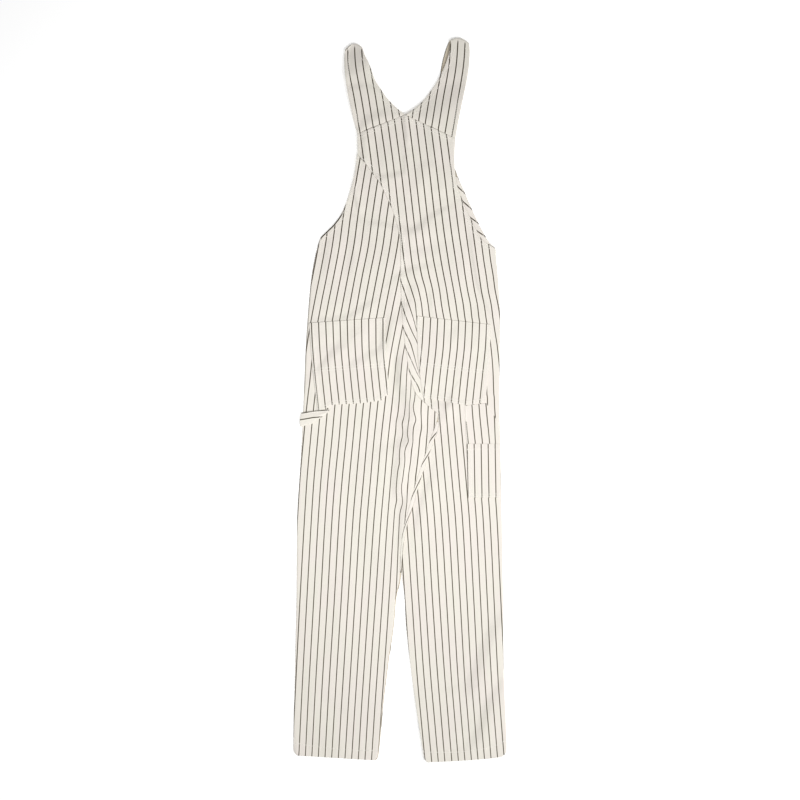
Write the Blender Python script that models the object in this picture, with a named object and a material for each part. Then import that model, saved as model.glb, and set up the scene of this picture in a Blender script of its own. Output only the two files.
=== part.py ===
"""Striped cotton dungarees, laid flat on their front with the back uppermost.

Plan sizes and heights are in millimetres. X runs across the garment, Y from the hems to the
straps, Z up from the surface that the garment lies on. Left and right are the wearer's.
Every piece of cloth is a wall of even thickness about a grid of points.
"""
import bmesh
import bpy
import numpy as np
from math import pi

MM = 0.001

# Cloth
WALL = 1.5
GAP = 0.3
LAYER = WALL + GAP
FLOOR_LAYER = WALL / 2

# Where the left leg laps over the right one
LAP_LIFT = 2 * LAYER
LAP_RAMP = 80.0
LAP_MARGIN = 8.0
LAP_TOP = (-74.0, -20.0)
LAP_FOOT = (-420.0, -336.0)

# Where the body divides into legs
FORK = (-60.0, 20.0)

# Hems: height at the outer corner, drop towards the inside leg, and the power of its curve
HEM = -711.0
HEM_DROP = {"left": (9.5, 1.0), "right": (13.0, 0.55)}
HEM_BEND = (HEM, -600.0)

# Strip of the left front that turns on to the back: its upper and its lower end
TURN_TOP, TURN_FOOT = -44.0, -345.0

# The folds fade over this share of their length at each end, and beside the seam. The right leg
# puffs up this far from its seam.
FOLD_FADE = 0.3
CALM_SEAM = 12.0
LEG_SHOULDER = 40.0

# Straps
STRAP_FOLD_RADIUS = 2.25
STRAP_FOLD_STEPS = 4
STRAP_COLUMNS = 6

# Strap buttons
BUTTON_RADIUS = 8.5
BUTTON_HEIGHT = 1.8
BUTTON_BEVEL = 0.4
BUTTON_SIDES = 28
BUTTON_PLACES = {"left": (-52.0, 478.0), "right": (78.0, 478.0)}

BACK_COLUMNS = 12
FRONT_COLUMNS = {"left": 12, "right": 8}
BIB_COLUMNS = 8
TURN_COLUMNS = 2
FACING_COLUMNS = 2

WAIST = 200.0
BIB_TOP = 500.0
CROTCH = -28.6
SPLIT_TOP = 492.0
YOKE_FOOT = SPLIT_TOP + 4.0
YOKE_ROWS = 3
ROW_SLACK = 0.001

# Bands of rows down the garment: upper end, lower end, rows
ROW_BANDS = (
    (SPLIT_TOP, 434.0, 4),
    (434.0, 324.0, 6),
    (324.0, 301.0, 2),
    (301.0, WAIST, 3),
    (WAIST, 32.0, 6),
    (32.0, CROTCH, 5),
    (CROTCH, -74.0, 4),
    (-74.0, -112.0, 3),
    (-112.0, -340.0, 8),
    (-340.0, -420.0, 3),
    (-420.0, -690.0, 7),
    (-690.0, HEM, 2),
)

# Finish: colour and roughness, and the angle in radians above which an edge stays sharp
CREAM, COTTON_ROUGHNESS = (0.82, 0.79, 0.71, 1.0), 0.9
BUTTON_BROWN, BUTTON_ROUGHNESS = (0.30, 0.22, 0.15, 1.0), 0.4
SHARP_ANGLE = 0.6


def table(columns, *rows):
    """Named columns of a table whose rows run down the garment, kept with y rising."""
    return dict(zip(columns.split(), np.array(rows, float)[::-1].T))


# Outer edges of the whole garment, from the armholes' upper ends to the hems
SIDES = table(
    "y left right",
    (532, -86.0, 110.6),
    (510, -85.2, 109.3),
    (490, -86.0, 108.8),
    (470, -88.2, 109.0),
    (450, -91.2, 110.8),
    (430, -96.0, 114.0),
    (410, -102.0, 120.8),
    (390, -109.0, 128.4),
    (370, -118.4, 138.0),
    (350, -133.0, 147.6),
    (336, -147.2, 155.0),
    (324, -158.6, 161.4),
    (312, -163.0, 176.0),
    (301, -166.0, 190.8),
    (280, -171.0, 192.8),
    (240, -177.4, 196.0),
    (200, -181.4, 199.0),
    (160, -184.6, 200.6),
    (100, -188.4, 199.8),
    (40, -190.8, 199.0),
    (-20, -193.4, 199.3),
    (-80, -196.0, 200.6),
    (-140, -199.4, 201.8),
    (-200, -203.4, 203.0),
    (-240, -205.4, 203.6),
    (-320, -206.0, 205.0),
    (-400, -206.8, 206.0),
    (-480, -208.6, 206.2),
    (-560, -210.0, 207.8),
    (-640, -212.2, 211.0),
    (-696, -213.0, 213.0),
    (-705, -210.6, 211.0),
    (HEM, -204.6, 204.4),
)

# Seam between the two backs: the lapped part, the centre back and the turn to the crotch
CENTRE_SEAM = table(
    "y x",
    (SPLIT_TOP, -84.6),
    (484, -79.0),
    (476, -71.6),
    (451, -54.0),
    (434, -40.0),
    (417, -31.8),
    (392, -20.4),
    (371, -12.0),
    (340, -3.6),
    (320, 0.4),
    (256, 0.8),
    (194, 2.6),
    (146, 5.6),
    (100, 11.4),
    (62, 17.4),
    (32, 24.0),
    (16, 30.0),
    (6, 37.0),
    (-2, 45.4),
    (-17.4, 63.4),
    (CROTCH, 77.6),
)

# Inside edges of the legs: the left leg's fold, the seam beside it, and the right leg's edge,
# which lies under the left leg down to the gap between the legs
INSIDE_LEG = table(
    "y fold seam right",
    (CROTCH, 77.6, 76.9, 78.2),
    (-44, 77.2, 73.0, 78.0),
    (-60, 74.4, 67.4, 75.2),
    (-74, 69.8, 62.0, 70.6),
    (-86, 65.6, 58.0, 50.0),
    (-98, 61.6, 54.0, 20.0),
    (-112, 57.0, 49.2, -4.0),
    (-130, 50.6, 43.0, -18.0),
    (-150, 43.8, 36.2, -24.0),
    (-180, 34.8, 27.2, -23.0),
    (-213, 25.0, 18.2, -17.0),
    (-249, 14.2, 8.6, -10.0),
    (-284, 7.4, 2.6, -4.0),
    (-320, 4.0, 0.0, 1.6),
    (-345, 3.0, -0.4, 3.8),
    (-362, 1.4, -1.2, 4.8),
    (-380, -3.6, -6.0, 7.8),
    (-400, -7.4, -9.6, 9.6),
    (-440, -10.6, -12.6, 11.6),
    (-480, -15.6, -17.6, 15.2),
    (-520, -21.8, -23.8, 19.6),
    (-560, -26.8, -28.8, 24.6),
    (-600, -31.8, -33.8, 30.2),
    (-640, -36.0, -38.0, 36.6),
    (-680, -40.0, -42.0, 44.0),
    (-700, -42.6, -44.6, 48.0),
    (-706, -44.4, -46.4, 50.0),
    (HEM, -48.0, -50.0, 54.0),
)

# Bib and armhole facing: their free edges between the bib's top and the side seams
BIB_EDGES = table(
    "y left right",
    (BIB_TOP, -78.0, 104.0),
    (470, -82.0, 107.6),
    (446, -86.6, 116.0),
    (414, -95.0, 129.8),
    (382, -106.0, 143.6),
    (353, -124.0, 157.2),
    (328, -147.0, 170.4),
    (314, -158.0, 179.2),
    (301, -165.6, 191.6),
    (280, -171.0, 192.8),
    (240, -177.4, 196.0),
    (WAIST, -181.4, 199.0),
)
FACING_TOP = 446.0
FACING_FOOT = 303.5

# Height of the bib, and of the backs over it, where the strap ends and buttons lie beneath
BIB_RISE = table("y rise", (600, 3.9), (450, 3.9), (425, 3.1), (400, 1.1), (370, 0.0), (0, 0.0))

# How far the backs puff up over the fronts, mid-width: over the body and over each leg
LOFT = table(
    "y body leg",
    (600, 0.4, 0.0),
    (480, 0.8, 0.0),
    (400, 1.4, 0.0),
    (300, 2.0, 0.0),
    (160, 2.6, 0.0),
    (40, 2.4, 1.4),
    (-60, 1.8, 1.8),
    (-200, 0.0, 1.8),
    (-450, 0.0, 1.2),
    (HEM, 0.0, 0.9),
)

# The largest folds of the backs: upper end, lower end, half width and height
FOLDS = (
    # side, x top, y top, x foot, y foot, half width, height
    ("left", 6.0, 60.0, -8.0, -250.0, 22.0, 2.4),
    ("left", -24.0, -20.0, -30.0, -210.0, 24.0, 1.4),
    ("left", -110.0, -330.0, -120.0, -560.0, 45.0, 0.6),
    ("right", 26.0, 268.0, 44.0, 190.0, 24.0, 1.6),
    ("right", 212.0, -420.0, 146.0, -620.0, 36.0, 2.4),
    ("right", 212.0, -570.0, 160.0, -711.0, 32.0, 2.4),
)

# Straps in sections along their length: the outer and the inner edge, how far the middle of the
# section bows up the garment, and the height of its mid-surface
STRAP_FIELDS = "outer_x outer_y inner_x inner_y bow z"
STRAPS = {
    "left": {
        "back": (
            (-85.2, 532.2, 9.4, 570.4, 0.0, 6.5),
            (-90.0, 550.0, -9.6, 586.0, 0.0, 6.4),
            (-95.6, 572.0, -26.6, 604.0, 0.0, 6.3),
            (-100.8, 596.0, -40.4, 624.0, 0.0, 6.4),
            (-105.6, 620.0, -50.2, 640.0, 0.0, 6.6),
            (-108.8, 642.0, -56.4, 657.0, 0.0, 6.6),
            (-110.8, 664.0, -63.0, 674.0, 1.0, 6.3),
            (-111.4, 684.0, -70.2, 689.0, 4.0, 5.7),
            (-109.8, 698.0, -75.0, 702.0, 11.0, 5.25),
        ),
        "front": (
            (-108.6, 693.0, -74.0, 698.0, 10.0, 0.75),
            (-106.0, 676.0, -68.0, 682.0, 3.0, 0.75),
            (-100.0, 636.0, -59.0, 642.0, 0.0, 0.75),
            (-94.0, 600.0, -52.0, 606.0, 0.0, 0.75),
            (-87.0, 564.0, -44.0, 568.0, 0.0, 0.75),
            (-81.0, 534.0, -38.0, 536.0, 0.0, 1.2),
            (-77.0, 516.0, -34.0, 516.0, 0.0, 2.2),
            (-75.0, 502.0, -33.0, 502.0, 0.0, 2.85),
            (-73.0, 456.0, -33.0, 456.0, 0.0, 2.85),
        ),
    },
    "right": {
        "back": (
            (110.6, 522.8, 10.6, 570.4, 0.0, 6.5),
            (113.6, 542.0, 29.6, 583.0, 0.0, 6.4),
            (118.0, 564.0, 46.4, 598.0, 0.0, 6.3),
            (122.4, 586.0, 59.6, 615.0, 0.0, 6.1),
            (127.4, 610.0, 70.8, 631.0, 0.0, 5.9),
            (132.0, 632.0, 80.0, 648.0, 0.0, 5.7),
            (135.6, 653.0, 87.2, 663.0, 0.0, 5.5),
            (138.4, 676.0, 93.8, 680.0, 1.0, 5.4),
            (139.2, 696.0, 99.4, 700.0, 3.0, 5.3),
            (138.2, 712.0, 101.2, 718.0, 7.4, 5.25),
        ),
        "front": (
            (136.2, 706.0, 96.2, 713.0, 6.6, 0.75),
            (132.0, 690.0, 90.6, 698.0, 2.0, 0.75),
            (127.0, 656.0, 82.0, 662.0, 0.0, 0.75),
            (121.0, 624.0, 78.6, 630.0, 0.0, 0.75),
            (115.0, 592.0, 74.0, 600.0, 0.0, 0.75),
            (108.0, 556.0, 68.0, 564.0, 0.0, 0.75),
            (102.0, 528.0, 62.0, 532.0, 0.0, 1.4),
            (100.0, 514.0, 60.0, 515.0, 0.0, 2.3),
            (99.0, 502.0, 59.0, 502.0, 0.0, 2.85),
            (98.0, 456.0, 58.0, 456.0, 0.0, 2.85),
        ),
    },
}
NECK_POINT = (10.0, 570.2)

# Patches on the backs, in sections down their length: left end and right end of each section,
# and how far the section stands off the cloth beneath
PATCHES = {
    # side, columns, rows, then sections as (left x, left y, right x, right y, off)
    "seat_pocket_left": (
        "left", 8, 7,
        (-182.0, 154.0, -30.6, 164.6, 0.6),
        (-176.6, 80.0, -27.0, 90.0, 0.3),
        (-164.6, -29.0, -22.5, 13.5, 0.0),
    ),
    "seat_pocket_right": (
        "right", 8, 7,
        (33.2, 168.0, 181.0, 150.8, 0.6),
        (35.6, 84.0, 179.6, 86.0, 0.3),
        (45.4, 5.0, 171.0, -4.0, 0.0),
    ),
    "tool_pocket_base": (
        "right", 5, 4,
        (129.4, -11.5, 198.5, -2.7, 0.0),
        (130.6, -50.0, 199.4, -52.0, 0.0),
        (133.6, -99.0, 199.9, -99.0, 0.0),
    ),
    "tool_pocket": (
        "right", 5, 7,
        (133.4, -87.6, 199.8, -87.6, LAYER),
        (133.9, -104.0, 200.2, -104.0, LAYER),
        (134.5, -128.0, 201.0, -128.0, 0.4),
        (135.8, -195.6, 202.4, -194.8, 0.0),
    ),
    "hammer_loop": (
        "left", 8, 4,
        (-197.4, -25.4, -140.0, -18.2, 2.2),
        (-200.2, -40.0, -143.0, -23.0, 2.6),
        (-199.6, -54.0, -147.0, -27.4, 0.5),
    ),
}

# How far the foot or the top of a patch rises above a straight line between its corners
BENDS = {
    # edge, then points along it as (share of the width, rise)
    "seat_pocket_left": ("foot", (0.0, 0.0), (0.21, 10.7), (0.6, -3.0), (0.89, -9.6), (1.0, 0.0)),
    "seat_pocket_right": ("foot", (0.0, 0.0), (0.34, -4.4), (0.67, -9.5), (0.8, -6.4), (1.0, 0.0)),
    "tool_pocket_base": ("top", (0.0, 0.0), (0.62, 0.0), (1.0, -45.5)),
    "tool_pocket": ("foot", (0.0, 0.0), (1.0, 0.0)),
    "hammer_loop": ("foot", (0.0, 0.0), (0.45, -5.5), (1.0, 0.0)),
}


def smooth_step(low, high, value):
    """0 below low, 1 above high, and a soft ramp between them."""
    t = np.clip((value - low) / (high - low), 0.0, 1.0)
    return t * t * (3.0 - 2.0 * t)


def read(tab, column, y):
    """A table's column at a height, joined by monotone cubics so that no edge overshoots."""
    x, v = tab["y"], tab[column]
    step = np.diff(x)
    slope = np.diff(v) / step
    product = slope[:-1] * slope[1:]
    total = np.where(product > 0, slope[:-1] + slope[1:], 1.0)
    inner = np.where(product > 0, 2.0 * product / total, 0.0)
    tangent = np.concatenate(([slope[0]], inner, [slope[-1]]))
    y = np.clip(y, x[0], x[-1])
    i = np.clip(np.searchsorted(x, y) - 1, 0, len(step) - 1)
    t = (y - x[i]) / step[i]
    h = step[i]
    start = (1 + 2 * t) * (1 - t) ** 2 * v[i] + t * (1 - t) ** 2 * h * tangent[i]
    end = t * t * (3 - 2 * t) * v[i + 1] + t * t * (t - 1) * h * tangent[i + 1]
    return start + end


def stations(top, foot):
    """Heights of the rows that every panel of the body shares, between two heights."""
    rows = [ROW_BANDS[0][0]]
    for upper, lower, count in ROW_BANDS:
        rows.extend(np.linspace(upper, lower, count + 1)[1:])
    rows = np.array(rows)
    return rows[(rows <= top + ROW_SLACK) & (rows >= foot - ROW_SLACK)]


def inside_edge(column, y):
    """The centre seam above the crotch, and a leg's inside edge below it."""
    return np.where(y >= CROTCH, read(CENTRE_SEAM, "x", y), read(INSIDE_LEG, column, y))


def lap_lift(x, y):
    """How far the left leg is lifted where it lies over the right leg."""
    covered = inside_edge("right", y) - LAP_MARGIN
    across = smooth_step(covered - LAP_RAMP, covered, x)
    down = (1.0 - smooth_step(*LAP_TOP, y)) * smooth_step(*LAP_FOOT, y)
    return LAP_LIFT * across * down


def dome(x, low, high):
    """1 across the middle between two edges, falling to 0 at each."""
    t = np.clip((x - low) / (high - low), 0.0, 1.0)
    return 1.0 - (2.0 * t - 1.0) ** 2


def folds(side, x, y):
    """Soft ridges along the lines of the fold table."""
    height = np.zeros_like(x)
    for place, top_x, top_y, foot_x, foot_y, half_width, rise in FOLDS:
        if place != side:
            continue
        along = (top_y - y) / (top_y - foot_y)
        away = np.abs(x - (top_x + (foot_x - top_x) * along)) / half_width
        ends = smooth_step(0.0, FOLD_FADE, along) * (1.0 - smooth_step(1.0 - FOLD_FADE, 1.0, along))
        height += rise * ends * (1.0 - smooth_step(0.0, 1.0, away))
    return height


def back_height(side, x, y):
    """Mid-surface height of a back panel: over its front, with its puff and its folds."""
    low, high = read(SIDES, "left", y), read(SIDES, "right", y)
    fold = inside_edge("fold", y)
    body = smooth_step(*FORK, y)
    puff = body * read(LOFT, "body", y) * dome(x, low, high)
    if side == "left":
        leg = dome(x, low, fold)
        under = lap_lift(x, y)
    else:
        leg = dome(x, fold, high) * smooth_step(0.0, LEG_SHOULDER, x - fold)
        under = 0.0
    puff = puff + (1.0 - body) * read(LOFT, "leg", y) * leg
    beside_seam = smooth_step(0.0, CALM_SEAM, np.abs(x - fold))
    beneath = FLOOR_LAYER + LAYER + under + read(BIB_RISE, "rise", y)
    return beneath + puff + beside_seam * folds(side, x, y)


def front_height(side, x, y):
    """Mid-surface height of a front panel: on the floor but where it laps or the bib rises."""
    lift = lap_lift(x, y) if side == "left" else 0.0
    return FLOOR_LAYER + lift + read(BIB_RISE, "rise", y)


def hem_drop(side, x, y):
    """The hems slope down towards the inside leg."""
    drop, power = HEM_DROP[side]
    edge = read(SIDES, side, y)
    inner = inside_edge("fold" if side == "left" else "right", y)
    inward = np.clip((x - edge) / (inner - edge), 0.0, 1.0)
    return y - drop * inward ** power * (1.0 - smooth_step(*HEM_BEND, y))


def grid(rows_y, left, right, columns):
    """Plan points on level rows between two edges."""
    across = np.linspace(0.0, 1.0, columns + 1)
    x = left[:, None] + (right - left)[:, None] * across
    y = np.repeat(rows_y[:, None], columns + 1, axis=1)
    return x, y


def half_gap(seam, rows_y):
    """Half the sewing gap, measured along a level row beside a slanting seam."""
    slope = np.gradient(seam, rows_y)
    return GAP / 2 * np.sqrt(1.0 + slope ** 2)


def normals(points):
    """Unit normals of a grid of points."""
    down = np.gradient(points, axis=0)
    across = np.gradient(points, axis=1)
    n = np.cross(down, across)
    return n / np.linalg.norm(n, axis=2, keepdims=True)


def material(name, colour, roughness):
    """A plain finish, made once."""
    found = bpy.data.materials.get(name)
    if found:
        return found
    made = bpy.data.materials.new(name)
    made.use_nodes = True
    shader = made.node_tree.nodes["Principled BSDF"]
    shader.inputs["Base Color"].default_value = colour
    shader.inputs["Roughness"].default_value = roughness
    shader.inputs["Metallic"].default_value = 0.0
    made.diffuse_color = colour
    return made


def add_object(name, mesh, finish):
    """A piece of the garment, smooth but for its rims."""
    mesh.materials.append(finish)
    mesh.shade_smooth()
    mesh.set_sharp_from_angle(angle=SHARP_ANGLE)
    made = bpy.data.objects.new(name, mesh)
    bpy.context.collection.objects.link(made)
    made.parent = bpy.data.objects["dungarees"]
    return made


def cloth(name, points, colour=CREAM):
    """A closed wall of cloth about a grid of mid-surface points (rows, columns, xyz)."""
    rows, columns = points.shape[:2]
    out = normals(points) * WALL / 2
    vertices = np.concatenate(((points + out).reshape(-1, 3), (points - out).reshape(-1, 3))) * MM
    below = rows * columns

    def at(row, column):
        return row * columns + column

    faces = []
    for r in range(rows - 1):
        for c in range(columns - 1):
            quad = (at(r, c), at(r + 1, c), at(r + 1, c + 1), at(r, c + 1))
            faces.append(quad)
            faces.append(tuple(below + v for v in reversed(quad)))
    rim = [at(r, 0) for r in range(rows)]
    rim += [at(rows - 1, c) for c in range(1, columns)]
    rim += [at(r, columns - 1) for r in range(rows - 2, -1, -1)]
    rim += [at(0, c) for c in range(columns - 2, 0, -1)]
    for first, second in zip(rim, rim[1:] + rim[:1]):
        faces.append((second, first, below + first, below + second))
    mesh = bpy.data.meshes.new(name)
    mesh.from_pydata(vertices.tolist(), [], faces)
    bm = bmesh.new()
    bm.from_mesh(mesh)
    bmesh.ops.recalc_face_normals(bm, faces=bm.faces)
    bm.to_mesh(mesh)
    bm.free()
    return add_object(name, mesh, material("cotton_" + name, colour, COTTON_ROUGHNESS))


def stack(x, y, z):
    """Points from their three coordinates."""
    return np.stack((x, y, z), axis=2)


def back_panel_left():
    """From the lapped seam at the top to the hem."""
    rows_y = stations(SPLIT_TOP, HEM)
    seam = inside_edge("seam", rows_y)
    left = read(SIDES, "left", rows_y)
    right = seam - half_gap(seam, rows_y)
    x, y = grid(rows_y, left, right, BACK_COLUMNS)
    return cloth("back_panel_left", stack(x, hem_drop("left", x, y), back_height("left", x, y)))


def yoke_rows():
    """Plan rows of the right back above the split, up to the two strap seams."""
    across = np.linspace(0.0, 1.0, BACK_COLUMNS + 1)
    left_end, right_end = STRAPS["left"]["back"][0], STRAPS["right"]["back"][0]
    peak = (NECK_POINT[0] - left_end[0]) / (right_end[0] - left_end[0])
    across[np.argmin(np.abs(across - peak))] = peak
    top_x = left_end[0] + (right_end[0] - left_end[0]) * across
    top_y = np.interp(top_x, (left_end[0], NECK_POINT[0], right_end[0]),
                      (left_end[1], NECK_POINT[1], right_end[1])) - GAP
    low, high = read(SIDES, "left", SPLIT_TOP), read(SIDES, "right", SPLIT_TOP)
    lower_x = low + (high - low) * across
    share = np.linspace(1.0, 0.0, YOKE_ROWS + 1)[:-1, None]
    x = lower_x + (top_x - lower_x) * share
    y = YOKE_FOOT + (top_y - YOKE_FOOT) * share
    return x, y


def back_panel_right():
    """From both strap seams to the hem."""
    rows_y = stations(SPLIT_TOP, HEM)
    seam = inside_edge("right", rows_y)
    left = seam + half_gap(seam, rows_y)
    right = read(SIDES, "right", rows_y)
    x, y = grid(rows_y, left, right, BACK_COLUMNS)
    yoke_x, yoke_y = yoke_rows()
    x, y = np.concatenate((yoke_x, x)), np.concatenate((yoke_y, y))
    return cloth("back_panel_right", stack(x, hem_drop("right", x, y), back_height("right", x, y)))


def inseam_turn():
    """The strip of the left front that turns over the inside leg on to the back."""
    rows_y = stations(TURN_TOP, TURN_FOOT)
    seam, fold = read(INSIDE_LEG, "seam", rows_y), read(INSIDE_LEG, "fold", rows_y)
    x, y = grid(rows_y, seam + half_gap(seam, rows_y), fold, TURN_COLUMNS)
    return cloth("inseam_turn_left", stack(x, y, back_height("left", x, y)))


def front_leg(side):
    """Beneath the back, from the bib to the hem."""
    rows_y = stations(WAIST, HEM)
    if side == "left":
        inner = inside_edge("fold", rows_y)
        left, right = read(SIDES, "left", rows_y), inner - half_gap(inner, rows_y)
    else:
        inner = inside_edge("right", rows_y)
        left, right = inner + half_gap(inner, rows_y), read(SIDES, "right", rows_y)
    x, y = grid(rows_y, left, right, FRONT_COLUMNS[side])
    return cloth("front_leg_" + side, stack(x, hem_drop(side, x, y), front_height(side, x, y)))


def front_bib():
    """Beneath the backs, from the waist to the top edge behind the neck."""
    rows_y = np.concatenate(([BIB_TOP], stations(SPLIT_TOP, WAIST)))
    rows_y[-1] += GAP
    x, y = grid(rows_y, read(BIB_EDGES, "left", rows_y), read(BIB_EDGES, "right", rows_y), BIB_COLUMNS)
    return cloth("front_bib", stack(x, y, front_height("right", x, y)))


def armhole_facing():
    """On the bib, beside the right back's armhole."""
    rows_y = stations(FACING_TOP, FACING_FOOT)
    rows_y = np.concatenate(([FACING_TOP], rows_y, [FACING_FOOT]))
    edge = read(SIDES, "right", rows_y)
    free = read(BIB_EDGES, "right", rows_y)
    x, y = grid(rows_y, edge + 2 * half_gap(edge, rows_y), free, FACING_COLUMNS)
    return cloth("armhole_facing_right", stack(x, y, front_height("right", x, y) + LAYER))


def strap(side):
    """A strap from its seam on the back, folded over at the top, down to its button."""
    sections = {part: table(STRAP_FIELDS, *STRAPS[side][part][::-1]) for part in ("back", "front")}
    across = np.linspace(0.0, 1.0, STRAP_COLUMNS + 1)
    bow_shape = 1.0 - (2.0 * across - 1.0) ** 2

    def row(section):
        x = section["outer_x"] + (section["inner_x"] - section["outer_x"]) * across
        y = section["outer_y"] + (section["inner_y"] - section["outer_y"]) * across
        return x, y + section["bow"] * bow_shape, np.full_like(x, section["z"])

    def rows_of(part):
        count = len(sections[part]["z"])
        return [row({name: values[i] for name, values in sections[part].items()}) for i in range(count)]

    back, front = rows_of("back"), rows_of("front")
    turn = []
    for step in range(1, STRAP_FOLD_STEPS):
        angle = pi * step / STRAP_FOLD_STEPS
        share = step / STRAP_FOLD_STEPS
        x = back[-1][0] + (front[0][0] - back[-1][0]) * share
        y = back[-1][1] + (front[0][1] - back[-1][1]) * share + STRAP_FOLD_RADIUS * np.sin(angle)
        z = np.full_like(x, FLOOR_LAYER + STRAP_FOLD_RADIUS * (1.0 + np.cos(angle)))
        turn.append((x, y, z))
    points = np.array([np.stack(r, axis=1) for r in back + turn + front])
    return cloth("strap_" + side, points)


def patch(name, side, columns, rows, *sections):
    """Cloth sewn on a back panel: the panel's own heights at its points, moved out a layer."""
    ends = np.array(sections)
    down = np.linspace(0.0, len(sections) - 1.0, rows + 1)
    left_x, left_y, right_x, right_y, off = (
        np.interp(down, range(len(sections)), ends[:, i])[:, None] for i in range(5))
    across = np.linspace(0.0, 1.0, columns + 1)
    x = left_x + (right_x - left_x) * across
    edge, *bend = BENDS[name]
    shares, rises = np.array(bend).T
    near_edge = down / down[-1] if edge == "foot" else 1.0 - down / down[-1]
    y = left_y + (right_y - left_y) * across + near_edge[:, None] * np.interp(across, shares, rises)
    return cloth(name, stack(x, y, back_height(side, x, y) + LAYER + off))


def button(side):
    """A plain flat button with a bevelled rim, under the strap's end."""
    name = "strap_button_" + side
    bm = bmesh.new()
    bmesh.ops.create_cone(
        bm, cap_ends=True, segments=BUTTON_SIDES, depth=BUTTON_HEIGHT * MM,
        radius1=BUTTON_RADIUS * MM, radius2=BUTTON_RADIUS * MM)
    rims = [e for e in bm.edges if abs(e.verts[0].co.z - e.verts[1].co.z) < BUTTON_BEVEL * MM]
    bmesh.ops.bevel(bm, geom=rims, offset=BUTTON_BEVEL * MM, segments=1, affect="EDGES")
    mesh = bpy.data.meshes.new(name)
    bm.to_mesh(mesh)
    bm.free()
    made = add_object(name, mesh, material("button", BUTTON_BROWN, BUTTON_ROUGHNESS))
    x, y = BUTTON_PLACES[side]
    made.location = (x * MM, y * MM, BUTTON_HEIGHT / 2 * MM)
    return made


def build():
    """The whole garment on an empty scene."""
    for old in list(bpy.data.objects):
        bpy.data.objects.remove(old, do_unlink=True)
    root = bpy.data.objects.new("dungarees", None)
    bpy.context.collection.objects.link(root)
    front_bib()
    for side in ("left", "right"):
        front_leg(side)
        strap(side)
        button(side)
    back_panel_left()
    back_panel_right()
    inseam_turn()
    armhole_facing()
    for name, sizes in PATCHES.items():
        patch(name, *sizes)


build()
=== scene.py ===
"""Looks of the striped cotton dungarees: every piece of cloth as a thin shell with its folds, seams,
stitches and woven stripes, laid flat with the back uppermost.

Plan sizes and heights are in millimetres. X runs across the garment, Y from the hems to the
straps, Z up. Left and right are the wearer's.
"""
from itertools import product
from math import pi

import bpy
import numpy as np
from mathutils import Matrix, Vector, noise

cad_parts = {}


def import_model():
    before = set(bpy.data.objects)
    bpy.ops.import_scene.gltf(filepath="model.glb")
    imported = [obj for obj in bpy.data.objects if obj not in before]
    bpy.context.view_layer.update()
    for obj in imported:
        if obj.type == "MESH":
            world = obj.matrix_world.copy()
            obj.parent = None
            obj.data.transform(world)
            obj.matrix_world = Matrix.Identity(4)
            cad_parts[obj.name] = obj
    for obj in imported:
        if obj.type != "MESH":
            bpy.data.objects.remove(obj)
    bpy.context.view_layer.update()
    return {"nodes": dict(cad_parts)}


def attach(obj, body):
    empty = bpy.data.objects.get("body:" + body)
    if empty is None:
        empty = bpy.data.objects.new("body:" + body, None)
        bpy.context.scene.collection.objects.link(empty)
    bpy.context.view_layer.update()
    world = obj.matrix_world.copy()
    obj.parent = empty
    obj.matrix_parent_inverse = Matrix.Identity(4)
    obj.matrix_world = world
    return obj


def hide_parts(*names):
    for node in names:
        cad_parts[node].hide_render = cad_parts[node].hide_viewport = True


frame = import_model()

MM = 0.001

# Cloth: its thickness, the step from one layer to the next, the height of the layer on the floor, the
# thinner and closer patches, the gap at a seam, and the distance from one woven stripe to the next
WALL = 1.5
HALF = WALL / 2
LAYER = WALL + 0.3
FLOOR_LAYER = HALF
PATCH_HALF = 0.45
PATCH_LAYER = 2 * PATCH_HALF + 0.1
SEAM_GAP = 0.06
PITCH = 14.0

# Heights on the plan, and the point where the two strap seams meet. A pair of heights is a passage: the
# armhole ends under the arm, the body passes into the legs over the fork, and the stitches of the
# lapped seam end below the crotch. The left front turns over the inside leg from TURN_TOP to TURN_FOOT,
# where it stands TURN_RISE higher than the back.
BIB_TOP = 500.0
SPLIT_TOP = 492.0
YOKE_FOOT = SPLIT_TOP + 4.0
FACING_TOP, FACING_FOOT = 446.0, 303.5
UNDERARM = (292.0, 302.0)
WAIST = 200.0
FORK = (-60.0, 20.0)
CROTCH = -28.6
LAPPED = (CROTCH - 14.0, CROTCH - 4.0)
TURN_TOP, TURN_FOOT, TURN_RISE = -44.0, -345.0, 0.15
HEM = -711.0
NECK_POINT = (10.0, 570.2)

# The left leg laps over the right one: how high it is lifted, the ramp and the margin beside the right
# leg's edge, and the heights between which the lift comes and goes
LAP_LIFT = 2 * LAYER
LAP_RAMP, LAP_MARGIN = 80.0, 8.0
LAP_TOP, LAP_FOOT = (-74.0, -20.0), (-420.0, -336.0)

# Hems: how far they slope down to the inside leg and with what power, the heights between which the
# slope starts, depth, stitches, end and swell of the turned-up cloth, and the puckers along its stitches
HEM_DROP = {"left": (9.5, 1.0), "right": (13.0, 0.55)}
HEM_BEND = (HEM, -600.0)
HEM_DEPTH, HEM_STITCHES, HEM_END, HEM_RISE = 19.0, 17.0, (-1.5, 1.5), 0.8
PUCKER, PUCKER_PITCH, PUCKER_DRIFT, PUCKER_REACH = 0.22, 13.0, 21.0, 9.0

# The right leg's lower outer corner curls up: how high, from where, which way and over what reach. The
# layer beneath follows it so far in from the side edge.
CURL = 6.4
CURL_START, CURL_WAY, CURL_REACH = (40.0, -480.0), (0.85, -0.53), 215.0
CURL_BELOW = 70.0

# Straps: their width, and the radius of the fold at the shoulder
STRAP_WIDTH = 56.0
STRAP_FOLD_RADIUS = 2.25

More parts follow.
